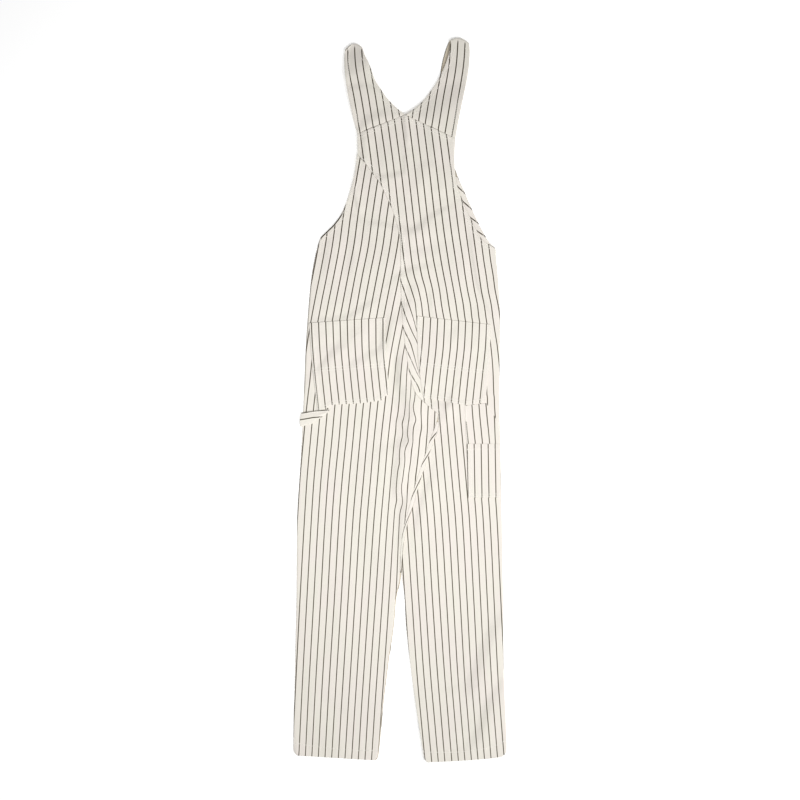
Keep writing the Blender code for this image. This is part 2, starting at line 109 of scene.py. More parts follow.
# Distance between the points of the shells: where folds show, on small pieces, and underneath. Then
# how many columns or rows of points lie between those beside the edges.
FINE, SMALL, COARSE = 2.7, 2.4, 9.0
BACK_COLUMNS, STRAP_COLUMNS, PLAIN_COLUMNS, NARROW_COLUMNS = 66, 14, 22, 3
YOKE_ROWS, STRAP_FOLD_ROWS = 22, 10

# Places of the points beside an edge: plain, sewn, and up from the hem. They take up at most a share of
# a short row.
RIM = (0.0, 1.0, 2.4)
SEWN_COLUMNS = (0.0, 1.2, 2.4, 3.8, 5.6, 7.4, 9.0, 11.0)
HEM_ROWS = (0.0, 1.0, 2.4, 5.0, 8.0, 11.0, 14.0, 15.8, 17.0, 18.2, 20.0, 22.0)
SHORT_ROW = 0.8

# A shell's rim is rounded at these angles, and its points lie so much of the half wall inside the edge
RIM_ANGLES = (pi / 5, 0.0, -pi / 5)
RIM_INSET = 0.96

# Finish of the edges: swell of a folded allowance and the distances from the edge over which it ends,
# reach and drop of an edge that turns over, and depth and reach of the dip beside a seam. What is far
# from an edge has none of its finish.
WELT_RISE = {"armhole": 0.35, "yoke": 0.4, "lap": 0.6, "strap": 0.3, "patch": 0.4}
WELT_END = (7.6, 10.0)
ROLL = {"side": (5.0, 0.9), "turn": (4.0, 0.7), "front": (5.0, 0.4)}
DIP = {"centre": (0.3, 4.0), "strap": (0.25, 4.0), "patch": (0.4, 2.5)}
FAR = 99.0

# Furrows of stitches, or of a fold, so far in from an edge
TWIN_ROWS, FURROW_DEPTH, FURROW_WIDTH = (2.4, 7.4), 0.28, 1.1
FACING_ROW, MOUTH_FOLD, FAINT_DEPTH = (2.0,), (3.0,), 0.2

# A strap's creases calm down towards its seam and towards its fold, and round the fold its stripes are left
# out: a painted highlight
STRAP_CALM_SEAM, STRAP_CALM_FOLD, STRAP_RIPPLED = (0.0, 12.0), (-8.0, 16.0), 0.5
STRAP_HIGHLIGHT_MIDDLE, STRAP_HIGHLIGHT_REACH = 1.0, 7.0

# Shares of a line's length over which a fold or a crease comes and goes, and an edge fold goes
FOLD_ENDS = ((0.0, 0.3), (0.7, 1.0))
CREASE_ENDS = ((-0.1, 0.28), (0.72, 1.1))
EDGE_FOLD_END = (0.5, 1.0)

# A step in the cloth turns within the first of these shares of its half width, and is gone at the
# second. Beside an outer edge the creases and ripples calm down, and beside a seam the folds. The
# right leg rises so far from its inside edge. No crease sinks deeper, because a front lies beneath.
STEP_TURN, STEP_REACH = 0.55, 1.9
CALM_EDGE, CALM_SEAM = (-4.0, 8.0), (-2.0, 8.0)
LEG_SHOULDER = 40.0
DEEPEST = -0.12

# Ripples of washed cotton: reach across and along the cloth, and height. They reach their full height
# on the body, and half of it on the legs.
RIPPLES = ((46.0, 80.0, 1.3), (22.0, 34.0, 0.7), (9.0, 15.0, 0.14))
RIPPLED = (-150.0, 60.0)

# Stripes end between these distances from their middle, as shares of the pitch, frayed by so much, and
# the cream beside them is a little lighter as far as this. The hidden fronts' first stripe lies so far
# in. The weave has so many twill lines and threads to a pitch, and the twill slants by a share of it.
STRIPE_EDGE, STRIPE_FRAY = (0.066, 0.092), 0.022
LIGHT_EDGE = (0.10, 0.24)
FRONT_STRIPE = 0.4
TWILL_LINES, THREAD_LINES, TWILL_SLANT = 15.0, 22.0, 0.8

# The stripes grow a little wider and darker between these heights, in metres up the garment
STRIPES_DARKEN_UPWARD, UPPER_STRIPE_WIDENING = (-0.15, 0.50), 0.007

# A dark line is painted along the left back's outer edge, round the armhole and down the side: how strongly,
# the heights between which it comes and goes, and the distances from the edge over which it ends
EDGE_LINES = (
    (1.0, (318.0, 326.0), (366.0, 382.0), (1.8, 3.0)),
    (0.55, (-10.0, 30.0), (290.0, 304.0), (1.4, 2.6)),
)

# Cloth without stripes: lowest and highest x, then lowest and highest y, and how wide the roll is
NOWHERE = (0.0, 0.0, 0.0, 0.0)
GUSSET = (0.0, 46.0, -6.0, 14.0)
ARMHOLE_ROLL, ROLL_WIDTH = (90.0, 130.0, 500.0, 580.0), 4.0
TOOL_BASE_CORNER = (120.0, 140.0, -42.0, 0.0)

# Stitches: length, step, radius and sides, the points of a row that say which way a stitch lies, the
# cloth left beyond a row where a piece narrows, and sections as (place along, swell, sink)
STITCH, STITCH_STEP, STITCH_RADIUS, STITCH_SIDES = 2.9, 3.4, 0.55, 6
STITCH_LOOK = (-0.6, 0.0, 0.6)
ROW_ROOM = 3.0
STITCH_PROFILE = (
    (-0.5, 0.35, -0.4),
    (-0.34, 0.9, 0.05),
    (0.0, 1.0, 0.16),
    (0.34, 0.9, 0.05),
    (0.5, 0.35, -0.4),
)

# Back-stitches under the neck point: how far aside, how far down they start and end, points in a row,
# and how high they stand on the cloth
NECK_BAR_COLUMNS, NECK_BAR_TOP, NECK_BAR_FOOT = (-1.4, 0.0, 1.4), 2.0, 15.0
NECK_BAR_POINTS, NECK_BAR_RISE = 6, 0.5

# Studio, in metres: ground, camera, lamps as (name, place, size, power), and the light from all round
FLOOR_HALF, FLOOR_Z, FLOOR_GLOW = 6.0, -0.0004, 0.35
SENSOR, CAMERA_HEIGHT, VIEW_WIDTH = 36.0, 9.0, 1.6
LAMPS = (
    ("key", (3.0, -1.87, 3.65), 1.5, 149.5),
    ("overhead", (0.0, -0.1, 1.2), 0.8, 9.9),
)
SKY = 0.177
WHITE = (1.0, 1.0, 1.0, 1.0)


def table(columns, *rows):
    """Named columns of a table. They are turned round, so that y rises where the rows run down."""
    return dict(zip(columns.split(), np.array(rows, float)[::-1].T))


# Outer edges of the whole garment, from the armholes' upper ends to the hems
SIDES = table(
    "y left right",
    (532, -86, 110.6),
    (510, -85.2, 109.3),
    (490, -86, 108.8),
    (470, -88.2, 109),
    (450, -91.2, 110.8),
    (430, -96, 114),
    (410, -102, 120.8),
    (390, -109, 128.4),
    (370, -118.4, 138),
    (350, -133, 147.6),
    (336, -147.2, 155),
    (324, -158.6, 161.4),
    (312, -163, 176),
    (301, -166, 190.8),
    (280, -171, 192.8),
    (240, -177.4, 196),
    (200, -181.4, 199),
    (160, -184.6, 200.6),
    (100, -188.4, 199.8),
    (40, -190.8, 199),
    (-20, -193.4, 199.3),
    (-80, -196, 200.6),
    (-140, -199.4, 201.8),
    (-200, -203.4, 203),
    (-240, -205.4, 203.6),
    (-320, -206, 205),
    (-400, -206.8, 206),
    (-480, -208.6, 206.2),
    (-560, -210, 207.8),
    (-640, -212.2, 211),
    (-696, -213, 213),
    (-705, -210.6, 211),
    (HEM, -204.6, 204.4),
)

# Seam between the two backs: the lapped part, the centre back and the turn to the crotch
CENTRE_SEAM = table(
    "y x",
    (SPLIT_TOP, -84.6),
    (484, -79),
    (476, -71.6),
    (451, -54),
    (434, -40),
    (417, -31.8),
    (392, -20.4),
    (371, -12),
    (340, -3.6),
    (320, 0.4),
    (256, 0.8),
    (194, 2.6),
    (146, 5.6),
    (100, 11.4),
    (62, 17.4),
    (32, 24),
    (16, 30),
    (6, 37),
    (-2, 45.4),
    (-17.4, 63.4),
    (CROTCH, 77.6),
)

# Inside edges of the legs: the left leg's fold, the seam beside it, and the right leg's edge,
# which lies under the left leg down to the gap between the legs
INSIDE_LEG = table(
    "y fold seam right",
    (CROTCH, 77.6, 76.9, 78.2),
    (-44, 77.2, 73, 78),
    (-60, 74.4, 67.4, 75.2),
    (-74, 69.8, 62, 70.6),
    (-86, 65.6, 58, 50),
    (-98, 61.6, 54, 20),
    (-112, 57, 49.2, -4),
    (-130, 50.6, 43, -18),
    (-150, 43.8, 36.2, -24),
    (-180, 34.8, 27.2, -23),
    (-213, 25, 18.2, -17),
    (-249, 14.2, 8.6, -10),
    (-284, 7.4, 2.6, -4),
    (-320, 4, 0, 1.6),
    (-345, 3, -0.4, 3.8),
    (-362, 1.4, -1.2, 4.8),
    (-380, -3.6, -6, 7.8),
    (-400, -7.4, -9.6, 9.6),
    (-440, -10.6, -12.6, 11.6),
    (-480, -15.6, -17.6, 15.2),
    (-520, -21.8, -23.8, 19.6),
    (-560, -26.8, -28.8, 24.6),
    (-600, -31.8, -33.8, 30.2),
    (-640, -36, -38, 36.6),
    (-680, -40, -42, 44),
    (-700, -42.6, -44.6, 48),
    (-706, -44.4, -46.4, 50),
    (HEM, -48, -50, 54),
)

# Bib and armhole facing: their free edges between the bib's top and the side seams
BIB_EDGES = table(
    "y left right",
    (BIB_TOP, -78, 104),
    (470, -82, 107.6),
    (446, -86.6, 116),
    (414, -95, 129.8),
    (382, -106, 143.6),
    (353, -124, 157.2),
    (328, -147, 170.4),
    (314, -158, 179.2),
    (301, -165.6, 191.6),
    (280, -171, 192.8),
    (240, -177.4, 196),
    (WAIST, -181.4, 199),
)

# Height of the bib, and of the backs over it, where the strap ends and buttons lie beneath
BIB_RISE = table("y rise", (600, 3.9), (450, 3.9), (425, 3.1), (400, 1.1), (370, 0), (0, 0))

# How far the backs puff up over the fronts, mid-width: over the body and over each leg
LOFT = table(
    "y body leg",
    (600, 0.4, 0),
    (480, 0.8, 0),
    (400, 1.4, 0),
    (300, 2, 0),
    (160, 2.6, 0),
    (40, 2.4, 1.4),
    (-60, 1.8, 1.8),
    (-200, 0, 1.8),
    (-450, 0, 1.2),
    (HEM, 0, 0.9),
)

# The largest folds of the backs, which their solids have too
FOLDS = (
    # side, x top, y top, x foot, y foot, half width, height
    ("left", 6, 60, -8, -250, 22, 2.4),
    ("left", -24, -20, -30, -210, 24, 1.4),
    ("left", -110, -330, -120, -560, 45, 0.6),
    ("right", 26, 268, 44, 190, 24, 1.6),
    ("right", 212, -420, 146, -620, 36, 2.4),
    ("right", 212, -570, 160, -711, 32, 2.4),
)

# Smaller creases. Ridge is the height along the line, or the depth where it is negative. Step is how
# much higher the cloth swells on the left-hand side of someone who walks along the line than on the
# right-hand side.
CREASES = (
    # where, half width, ridge, step, points along the line
    ("both", 23, 0, 1.5, (-18, 574), (-44, 571), (-64, 561), (-77, 545), (-80, 520), (-76, 490)),
    ("strap_left", 23, 0, 1.5, (-18, 574), (-44, 571), (-64, 561), (-77, 545), (-80, 520)),
    ("right", 14, 0.4, 3.4, (5, 580), (6, 560), (8, 540), (10, 504)),
    ("right", 11, 0, 1.2, (6, 490), (8, 472), (9, 452)),
    ("right", 15, 0, 1.3, (14, 456), (-8, 451), (-31, 446), (-66, 449)),
    ("right", 28, 0, 1.8, (52, 572), (58, 515), (70, 466)),
    ("right", 22, 0.5, 0.9, (46, 480), (40, 448), (30, 420)),
    ("right", 18, 0.2, 2, (-77, 537), (-79, 510), (-76, 466)),
    ("both", 14, 0, 2.2, (-97, 426), (-90, 398), (-82, 370)),
    ("both", 16, 0, 1.1, (22, 342), (-8, 346), (-31, 352), (-62, 355), (-84, 366)),
    ("right", 20, 0, 1.9, (112, 396), (84, 383), (66, 371), (45, 353), (27, 341), (2, 334)),
    ("right", 24, 1.4, 0, (122, 352), (84, 340), (50, 330), (10, 320)),
    ("right", 24, 0, 0.8, (96, 300), (60, 296), (20, 288)),
    ("left", 18, 0, 1.1, (-100, 336), (-97, 300), (-99, 270), (-105, 240)),
    ("left", 22, 1.5, 0, (-140, 322), (-135, 286), (-142, 240)),
    ("right", 12, 0, 2, (138, 336), (147, 272), (154, 232), (168, 196), (182, 170), (198, 140)),
    ("both", 16, 0, 1.3, (70, 268), (44, 267), (23, 262), (4, 252), (-18, 236)),
    ("both", 26, 2.1, 0, (22, 230), (23, 204), (23, 172), (21, 144)),
    ("both", 19, 0, 1.8, (27, 198), (14, 194), (6, 180), (4, 150)),
    ("right", 9, 0, 1, (58, 222), (61, 200), (64, 176)),
    ("left", 9, 0, 0.7, (-16, 224), (-19, 206), (-22, 186)),
    ("left", 16, 0, 1.4, (-38, 206), (-60, 194), (-80, 182), (-102, 167), (-138, 161), (-182, 158)),
    ("left", 24, 0, 2.8, (-18, 178), (-27, 136), (-38, 84)),
    ("left", 24, 0, 2.1, (-100, 122), (-138, 94), (-180, 44)),
    ("left", 20, 0, 1.5, (-36, 112), (-66, 88), (-112, 66)),
    ("left", 20, 0.9, 0, (-170, 120), (-120, 128), (-70, 124)),
    ("right", 19, 0, 0.6, (120, 150), (104, 132), (94, 108)),
    ("right", 22, 0.9, 0, (60, 128), (110, 116), (166, 96)),
    ("left", 18, 0, 2.8, (-3, 98), (-5, 62), (-7, 18)),
    ("left", 26, 0.4, 3.8, (2, 34), (8, 14), (15, -4), (18, -24), (16, -46)),
    ("left", 15, 0.8, 0, (40, 12), (43, -16), (48, -48)),
    ("left", 26, 0, 1.8, (0, -4), (8, -34), (16, -66), (18, -92)),
    ("right", 24, 0, 2.4, (112, -6), (94, -8), (74, -2), (54, 8)),
    ("right", 32, 0.4, 2.9, (100, 16), (82, -6), (70, -32), (62, -56)),
    ("right", 24, 0.5, 2.4, (64, -140), (46, -188), (34, -230), (26, -272)),
    ("right", 14, 0, 1.8, (98, 2), (90, -20), (84, -46)),
    ("left", 13, 0, 1.4, (66, -44), (64, -64), (58, -80)),
    ("left", 30, 0.4, 3, (0, -34), (8, -62), (7, -92), (1, -118), (-5, -144), (-9, -184), (-12, -214)),
    ("left", 26, 0.6, 3.4, (14, -176), (6, -214), (0, -244), (-2, -276), (-3, -320)),
    ("left", 12, 0, 0.8, (34, -104), (26, -128), (24, -152)),
    ("right", 44, 0, 3.6, (140, -572), (84, -578), (20, -568)),
    ("right", 30, 0, 1.1, (120, -650), (90, -660), (52, -656)),
    ("right", 16, 0, 0.6, (124, -482), (88, -488), (48, -480)),
    ("left", 18, -0.7, 0, (-164, -592), (-140, -612), (-112, -632)),
    ("left", 32, 0, 0.7, (-60, -640), (-110, -650), (-180, -640)),
    ("strap_left", 16, 0, 1, (-40, 622), (-74, 629), (-112, 622)),
    ("strap_left", 44, 0, 3.6, (-94, 740), (-88, 700), (-82, 650)),
    ("strap_left", 42, 3.4, 0, (-46, 666), (-84, 664), (-126, 660)),
    ("strap_right", 54, 0, 3, (150, 638), (106, 612), (68, 588), (20, 570)),
    ("strap_right", 22, 1, 0, (140, 660), (108, 652), (76, 648)),
)

# Folds that run over the right leg's outer edge. The cloth beyond each stays higher.
EDGE_STEPS = (
    # half width, rise, points along the line
    (15, 4.5, (216, -412), (188, -455), (172, -491), (152, -542), (127, -604), (100, -660)),
    (13, 4.5, (218, -552), (190, -582), (174, -612), (162, -645), (143, -678), (102, -702), (58, -720)),
)

# Where creases draw the left back's woven stripes sideways: middle of the pull, how far, and its reach
PULLS = (
    # x, y, pull, reach across, reach along
    (31, -39, 4.2, 9, 11),
    (27, -12, -2.2, 8, 12),
    (43, -56, 2.4, 9, 14),
    (16, -82, 3.4, 8, 9),
    (12, -104, -1.8, 8, 10),
    (3, -68, 2.2, 8, 13),
    (1, -46, -2.4, 9, 10),
    (-1, -126, 1.8, 9, 12),
    (-6, -200, 2.4, 9, 14),
    (5, -206, 3.2, 8, 14),
    (7, -172, -1.6, 8, 12),
    (22, -150, -1.4, 9, 16),
)

# Straps in sections along their length. The bow is how far the middle of a section lies up the
# garment, and the height is that of the mid-surface.
STRAPS = {
    # outer x, outer y, inner x, inner y, bow, height
    "left": {
        "back": (
            (-85.2, 532.2, 9.4, 570.4, 0, 6.5),
            (-90, 550, -9.6, 586, 0, 6.4),
            (-95.6, 572, -26.6, 604, 0, 6.3),
            (-100.8, 596, -40.4, 624, 0, 6.4),
            (-105.6, 620, -50.2, 640, 0, 6.6),
            (-108.8, 642, -56.4, 657, 0, 6.6),
            (-110.8, 664, -63, 674, 1, 6.3),
            (-111.4, 684, -70.2, 689, 4, 5.7),
            (-109.8, 698, -75, 702, 11, 5.25),
        ),
        "front": (
            (-108.6, 693, -74, 698, 10, 0.75),
            (-106, 676, -68, 682, 3, 0.75),
            (-100, 636, -59, 642, 0, 0.75),
            (-94, 600, -52, 606, 0, 0.75),
            (-87, 564, -44, 568, 0, 0.75),
            (-81, 534, -38, 536, 0, 1.2),
            (-77, 516, -34, 516, 0, 2.2),
            (-75, 502, -33, 502, 0, 2.85),
            (-73, 456, -33, 456, 0, 2.85),
        ),
    },
    "right": {
        "back": (
            (110.6, 522.8, 10.6, 570.4, 0, 6.5),
            (113.6, 542, 29.6, 583, 0, 6.4),
            (118, 564, 46.4, 598, 0, 6.3),
            (122.4, 586, 59.6, 615, 0, 6.1),
            (127.4, 610, 70.8, 631, 0, 5.9),
            (132, 632, 80, 648, 0, 5.7),
            (135.6, 653, 87.2, 663, 0, 5.5),
            (138.4, 676, 93.8, 680, 1, 5.4),
            (139.2, 696, 99.4, 700, 3, 5.3),
            (138.2, 712, 101.2, 718, 7.4, 5.25),
        ),
        "front": (
            (136.2, 706, 96.2, 713, 6.6, 0.75),
            (132, 690, 90.6, 698, 2, 0.75),
            (127, 656, 82, 662, 0, 0.75),
            (121, 624, 78.6, 630, 0, 0.75),
            (115, 592, 74, 600, 0, 0.75),
            (108, 556, 68, 564, 0, 0.75),
            (102, 528, 62, 532, 0, 1.4),
            (100, 514, 60, 515, 0, 2.3),
            (99, 502, 59, 502, 0, 2.85),
            (98, 456, 58, 456, 0, 2.85),
        ),
    },
}

# Patches on the backs, in sections down their length
PATCHES = {
    # back, then left x, left y, right x, right y, and how far the section stands off the cloth
    "seat_pocket_left": (
        "left",
        (-182, 154, -30.6, 164.6, 0.6),
        (-176.6, 80, -27, 90, 0.3),
        (-164.6, -29, -22.5, 13.5, 0),
    ),
    "seat_pocket_right": (
        "right",
        (33.2, 168, 181, 150.8, 0.6),
        (35.6, 84, 179.6, 86, 0.3),
        (45.4, 5, 171, -4, 0),
    ),
    "tool_pocket_base": (
        "right",
        (129.4, -11.5, 198.5, -2.7, 0),
        (130.6, -50, 199.4, -52, 0),
        (133.6, -99, 199.9, -99, 0),
    ),
    "tool_pocket": (
        "right",
        (133.4, -87.6, 199.8, -87.6, PATCH_LAYER),
        (133.9, -104, 200.2, -104, PATCH_LAYER),
        (134.5, -128, 201, -128, 0.4),
        (135.8, -195.6, 202.4, -194.8, 0),
    ),
    "hammer_loop": (
        "left",
        (-197.4, -25.4, -140, -18.2, 2),
        (-200.2, -40, -143, -23, 3),
        (-199.6, -54, -147, -27.4, 0.8),
    ),
}

# How far the foot or the top of a patch rises above a straight line between its corners
BENDS = {
    # edge, then points along it as (share of the width, rise)
    "seat_pocket_left": ("foot", (0, 0), (0.21, 10.7), (0.6, -3), (0.89, -9.6), (1, 0)),
    "seat_pocket_right": ("foot", (0, 0), (0.34, -4.4), (0.67, -9.5), (0.8, -6.4), (1, 0)),
    "tool_pocket_base": ("top", (0, 0), (0.62, 0), (1, -45.5)),
    "tool_pocket": ("foot", (0, 0), (1, 0)),
    "hammer_loop": ("foot", (0, 0), (0.45, -5.5), (1, 0)),
}

# Where chosen stripes of each piece run: x at each height, in a column with the stripe's number
STRIPES = {
    "back_panel_left": table(
        "y 0 4 8 11 13 15",
        (500, -91, -35, 23, 66, 94, 122),
        (370, -113, -55, 3, 46, 74, 102),
        (310, -121, -63, -5, 38, 66, 94),
        (250, -132, -75, -16, 28, 56, 84),
        (190, -144, -86, -28, 15, 42, 68),
        (140, -153, -95, -37, 4, 29, 54),
        (80, -162, -105, -47, -7, 16, 38),
        (40, -166, -110, -53, -11, 13, 32),
        (0, -171, -115, -58, -15, 12, 29),
        (-80, -179, -122, -66, -24, 2, 25),
        (-160, -186, -130, -73, -31, -6, 17),
        (-240, -191, -136, -80, -38, -12, 10),
        (-400, -200, -145, -90, -49, -22, 5),
        (-560, -208, -155, -100, -60, -33, -6),
        (-725, -216, -164, -111, -71, -45, -18),
    ),
    "back_panel_right": table(
        "y -4 -2 -1 0 1 4 8 12",
        (580, -86, -57, -43, -28, -14, 29, 86, 143),
        (460, -70, -41, -26, -12, 2, 44, 102, 159),
        (340, -56, -28, -14, 1, 16, 58, 117, 174),
        (280, -51, -22, -7, 8, 23, 67, 126, 181),
        (250, -46, -17, -2, 13, 28, 73, 130, 186),
        (220, -36, -7, 8, 23, 37, 79, 135, 190),
        (190, -25, 4, 18, 31, 43, 83, 141, 196),
        (163, -15, 13, 27, 33, 46, 88, 144, 200),
        (137, -5, 24, 34, 42, 55, 94, 150, 203),
        (109, 9, 36, 44, 52, 63, 102, 156, 207),
        (55, 34, 41, 46, 52, 63, 103, 159, 213),
        (12, 54, 58, 60, 62, 66, 104, 160, 215),
        (4, -2, 22, 34, 48, 62, 104, 161, 216),
        (-11, 4, 25, 38, 50, 63, 105, 161, 217),
        (-80, -2, 26, 40, 54, 69, 111, 167, 223),
        (-160, 5, 33, 48, 62, 76, 118, 174, 230),
        (-240, 13, 41, 55, 69, 83, 125, 180, 236),
        (-400, 24, 51, 65, 79, 93, 134, 188, 242),
        (-560, 35, 62, 76, 90, 103, 143, 196, 250),
        (-725, 52, 78, 91, 105, 118, 157, 209, 262),
    ),
    "seat_pocket_left": table(
        "y 0 5 10",
        (175, -178, -106, -34),
        (110, -175, -104, -34),
        (50, -170, -99, -29),
        (-17, -163, -92, -22),
    ),
    "seat_pocket_right": table(
        "y 0 4 9",
        (175, 48, 104, 174),
        (110, 44, 101, 171),
        (50, 38, 94, 165),
        (-17, 31, 87, 158),
    ),
    "tool_pocket_base": table(
        "y 0 2 3",
        (0, 143, 171, 186),
        (-40, 146, 174.5, 189),
        (-62, 148, 177, 189.6),
        (-101, 152, 180.5, 191.4),
    ),
    "tool_pocket": table("y 0 3", (-81, 148, 190), (-197, 150, 192)),
    "strap_left": table("y 0 2", (727, -105, -78), (680, -104, -75), (600, -91, -62), (529, -79, -51)),
    "strap_right": table("y 0 2", (731, 102, 131), (680, 99, 128), (600, 86, 116), (519, 73, 102)),
}

# Slanting stripes of the narrow pieces: stripe number, y at the left edge, y at the right edge
SLANTING = {
    "inseam_turn_left": table(
        "stripe left right",
        (4, -353, -290),
        (3, -271, -221),
        (2, -195, -154),
        (1, -129, -101),
        (0, -83, -65),
        (-1, -40, -30),
    ),
    "armhole_facing_right": table(
        "stripe left right",
        (5, 270, 262),
        (4, 309, 301),
        (3, 338, 327),
        (2, 365, 353),
        (1, 397, 381),
        (0, 427, 413),
        (-1, 456, 443),
    ),
}

# The hammer loop's middle stripe runs along it, with others so far above and below
LOOP_STRIPE_GAP = {"above": 12.6, "below": 17.0}
LOOP_STRIPE = table("x y", (-157, -33.4), (-175, -35), (-184, -36.8), (-200, -39.4))

# Rows of stitches. Those across a seat pocket hold the turned-down cloth of its mouth.
ANYWHERE = (1000, -1000)
MOUTH_ROWS = (91.6, 97)
STITCH_ROWS = (
    # pieces, edges they follow, distances from the edge, and the heights they run between
    ("back_panel_right", "left", (1.9, 7.2), (487, -26)),
    ("back_panel_right", "right", (2.4, 7.6), (515, 300)),
    ("back_panel_right", "left", (2.4,), (530, 499)),
    ("back_panel_right", "top", (2.2, 7.4), ANYWHERE),
    ("back_panel_left", "left", (2.4, 7.6), (486, 300)),
    ("back_panel_right back_panel_left", "foot", (HEM_STITCHES,), ANYWHERE),
    ("strap_left", "left", (2.4, 7.6), (694, 400)),
    ("strap_left", "right", (2.4, 7.6), (698, 400)),
    ("strap_right", "left", (2.4, 7.6), (708, 400)),
    ("strap_right", "right", (2.4, 7.6), (704, 400)),
    ("seat_pocket_left seat_pocket_right", "left right foot", (1.9, 6.8), ANYWHERE),
    ("seat_pocket_left seat_pocket_right", "top", MOUTH_ROWS, ANYWHERE),
    ("tool_pocket_base", "left right", (1.9,), ANYWHERE),
    ("tool_pocket", "left foot", (1.9, 6.8), ANYWHERE),
    ("tool_pocket", "top", (10,), ANYWHERE),
    ("hammer_loop", "top foot", (2,), ANYWHERE),
    ("armhole_facing_right", "right", (2,), ANYWHERE),
)


# ---- the cloth's form


def smooth_step(low, high, value):
    """0 below low, 1 above high, and a soft ramp between them."""
    t = np.clip((value - low) / (high - low), 0.0, 1.0)
    return t * t * (3.0 - 2.0 * t)


def falling(low, high, value):
    """1 below low, 0 above high, and a soft ramp between them."""
    return 1.0 - smooth_step(low, high, value)


def between(rise, fall, value):
    """Rises over the first range of values, stays at 1 and falls over the second one."""
    return smooth_step(*rise, value) * falling(*fall, value)


def fade(reach, distance):
    """1 at no distance, falling softly to 0 at the reach."""
    return falling(0.0, reach, distance)


def read(tab, column, y):
    """A table's column at a height, joined by monotone cubics so that no edge overshoots."""
    heights, values = tab["y"], tab[column]
    step = np.diff(heights)
    slope = np.diff(values) / step
    turn = slope[:-1] * slope[1:]
    total = np.where(turn > 0, slope[:-1] + slope[1:], 1.0)
    inner = np.where(turn > 0, 2.0 * turn / total, 0.0)
    tangent = np.concatenate(([slope[0]], inner, [slope[-1]]))
    y = np.clip(y, heights[0], heights[-1])
    i = np.clip(np.searchsorted(heights, y) - 1, 0, len(step) - 1)
    t = (y - heights[i]) / step[i]
    start = (1 + 2 * t) * (1 - t) ** 2 * values[i] + t * (1 - t) ** 2 * step[i] * tangent[i]
    end = t * t * (3 - 2 * t) * values[i + 1] + t * t * (t - 1) * step[i] * tangent[i + 1]
    return start + end


def joined(at, places, values):
    """Values joined by straight lines, in whatever order their places are."""
    order = np.argsort(places)
    return np.interp(at, places[order], values[order])


def inside_edge(column, y):
    """The centre seam above the crotch, and a leg's inside edge below it."""
    return np.where(y >= CROTCH, read(CENTRE_SEAM, "x", y), read(INSIDE_LEG, column, y))


def lap_lift(x, y):
    """How far the left leg is lifted where it lies over the right leg."""
    covered = inside_edge("right", y) - LAP_MARGIN
    across = smooth_step(covered - LAP_RAMP, covered, x)
    return LAP_LIFT * across * between(LAP_FOOT, LAP_TOP, y)


def curl(x, y):
    """How far the right leg's lower outer corner curls up off the floor."""
    along = (x - CURL_START[0]) * CURL_WAY[0] + (y - CURL_START[1]) * CURL_WAY[1]
    return CURL * smooth_step(0.0, CURL_REACH, along)


def edge_steps(x, y):
    """How far the cloth steps up towards the right leg's lower outer corner, fold by fold."""
    height = np.zeros(x.shape)
    for half_width, rise, *points in EDGE_STEPS:
        share, aside = along_path(x, y, points)
        height += rise * falling(*EDGE_FOLD_END, share) * smooth_step(-half_width, half_width, aside)
    return height


def edge_lift(x, y):
    """How far the leg's outer edge is lifted off the floor by those steps."""
    return edge_steps(x, y) * fade(CURL_BELOW, read(SIDES, "right", y) - x)


def dome(x, low, high):
    """1 across the middle between two edges, falling to 0 at each."""
    t = np.clip((x - low) / (high - low), 0.0, 1.0)
    return 1.0 - (2.0 * t - 1.0) ** 2


def folds(side, x, y):
    """Soft ridges along the lines of the fold table."""
    height = np.zeros_like(x)
    for place, top_x, top_y, foot_x, foot_y, half_width, rise in FOLDS:
        if place == side:
            along = (top_y - y) / (top_y - foot_y)
            away = np.abs(x - (top_x + (foot_x - top_x) * along))
            height += rise * between(*FOLD_ENDS, along) * fade(half_width, away)
    return height


def rounded_path(points, steps=5):
    """A Catmull-Rom curve through points."""
    p = np.array(points, float)
    p = np.concatenate(([2 * p[0] - p[1]], p, [2 * p[-1] - p[-2]]))
    t = np.linspace(0.0, 1.0, steps, endpoint=False)[:, None]
    parts = []
    for a, b, c, d in zip(p, p[1:], p[2:], p[3:]):
        bend = (2 * a - 5 * b + 4 * c - d) * t ** 2
        twist = (3 * b - a - 3 * c + d) * t ** 3
        parts.append(0.5 * (2 * b + (c - a) * t + bend + twist))
    return np.concatenate(parts + [p[-2:-1]])


def along_path(x, y, points):
    """Where places lie along a curve, as a share of its length, and how far to the left of it."""
    path = rounded_path(points)
    lengths = np.linalg.norm(np.diff(path, axis=0), axis=1)
    starts = np.cumsum(lengths) - lengths
    nearest = np.full(x.shape, np.inf)
    aside = np.zeros(x.shape)
    share = np.zeros(x.shape)
    for start, length, a, b in zip(starts, lengths, path, path[1:]):
        way = (b - a) / length
        along = np.clip((x - a[0]) * way[0] + (y - a[1]) * way[1], 0.0, length)
        off_x = x - a[0] - along * way[0]
        off_y = y - a[1] - along * way[1]
        distance = np.hypot(off_x, off_y)
        closer = distance < nearest
        left = np.sign(way[0] * off_y - way[1] * off_x)
        nearest = np.where(closer, distance, nearest)
        aside = np.where(closer, distance * left, aside)
        share = np.where(closer, (start + along) / lengths.sum(), share)
    return share, aside


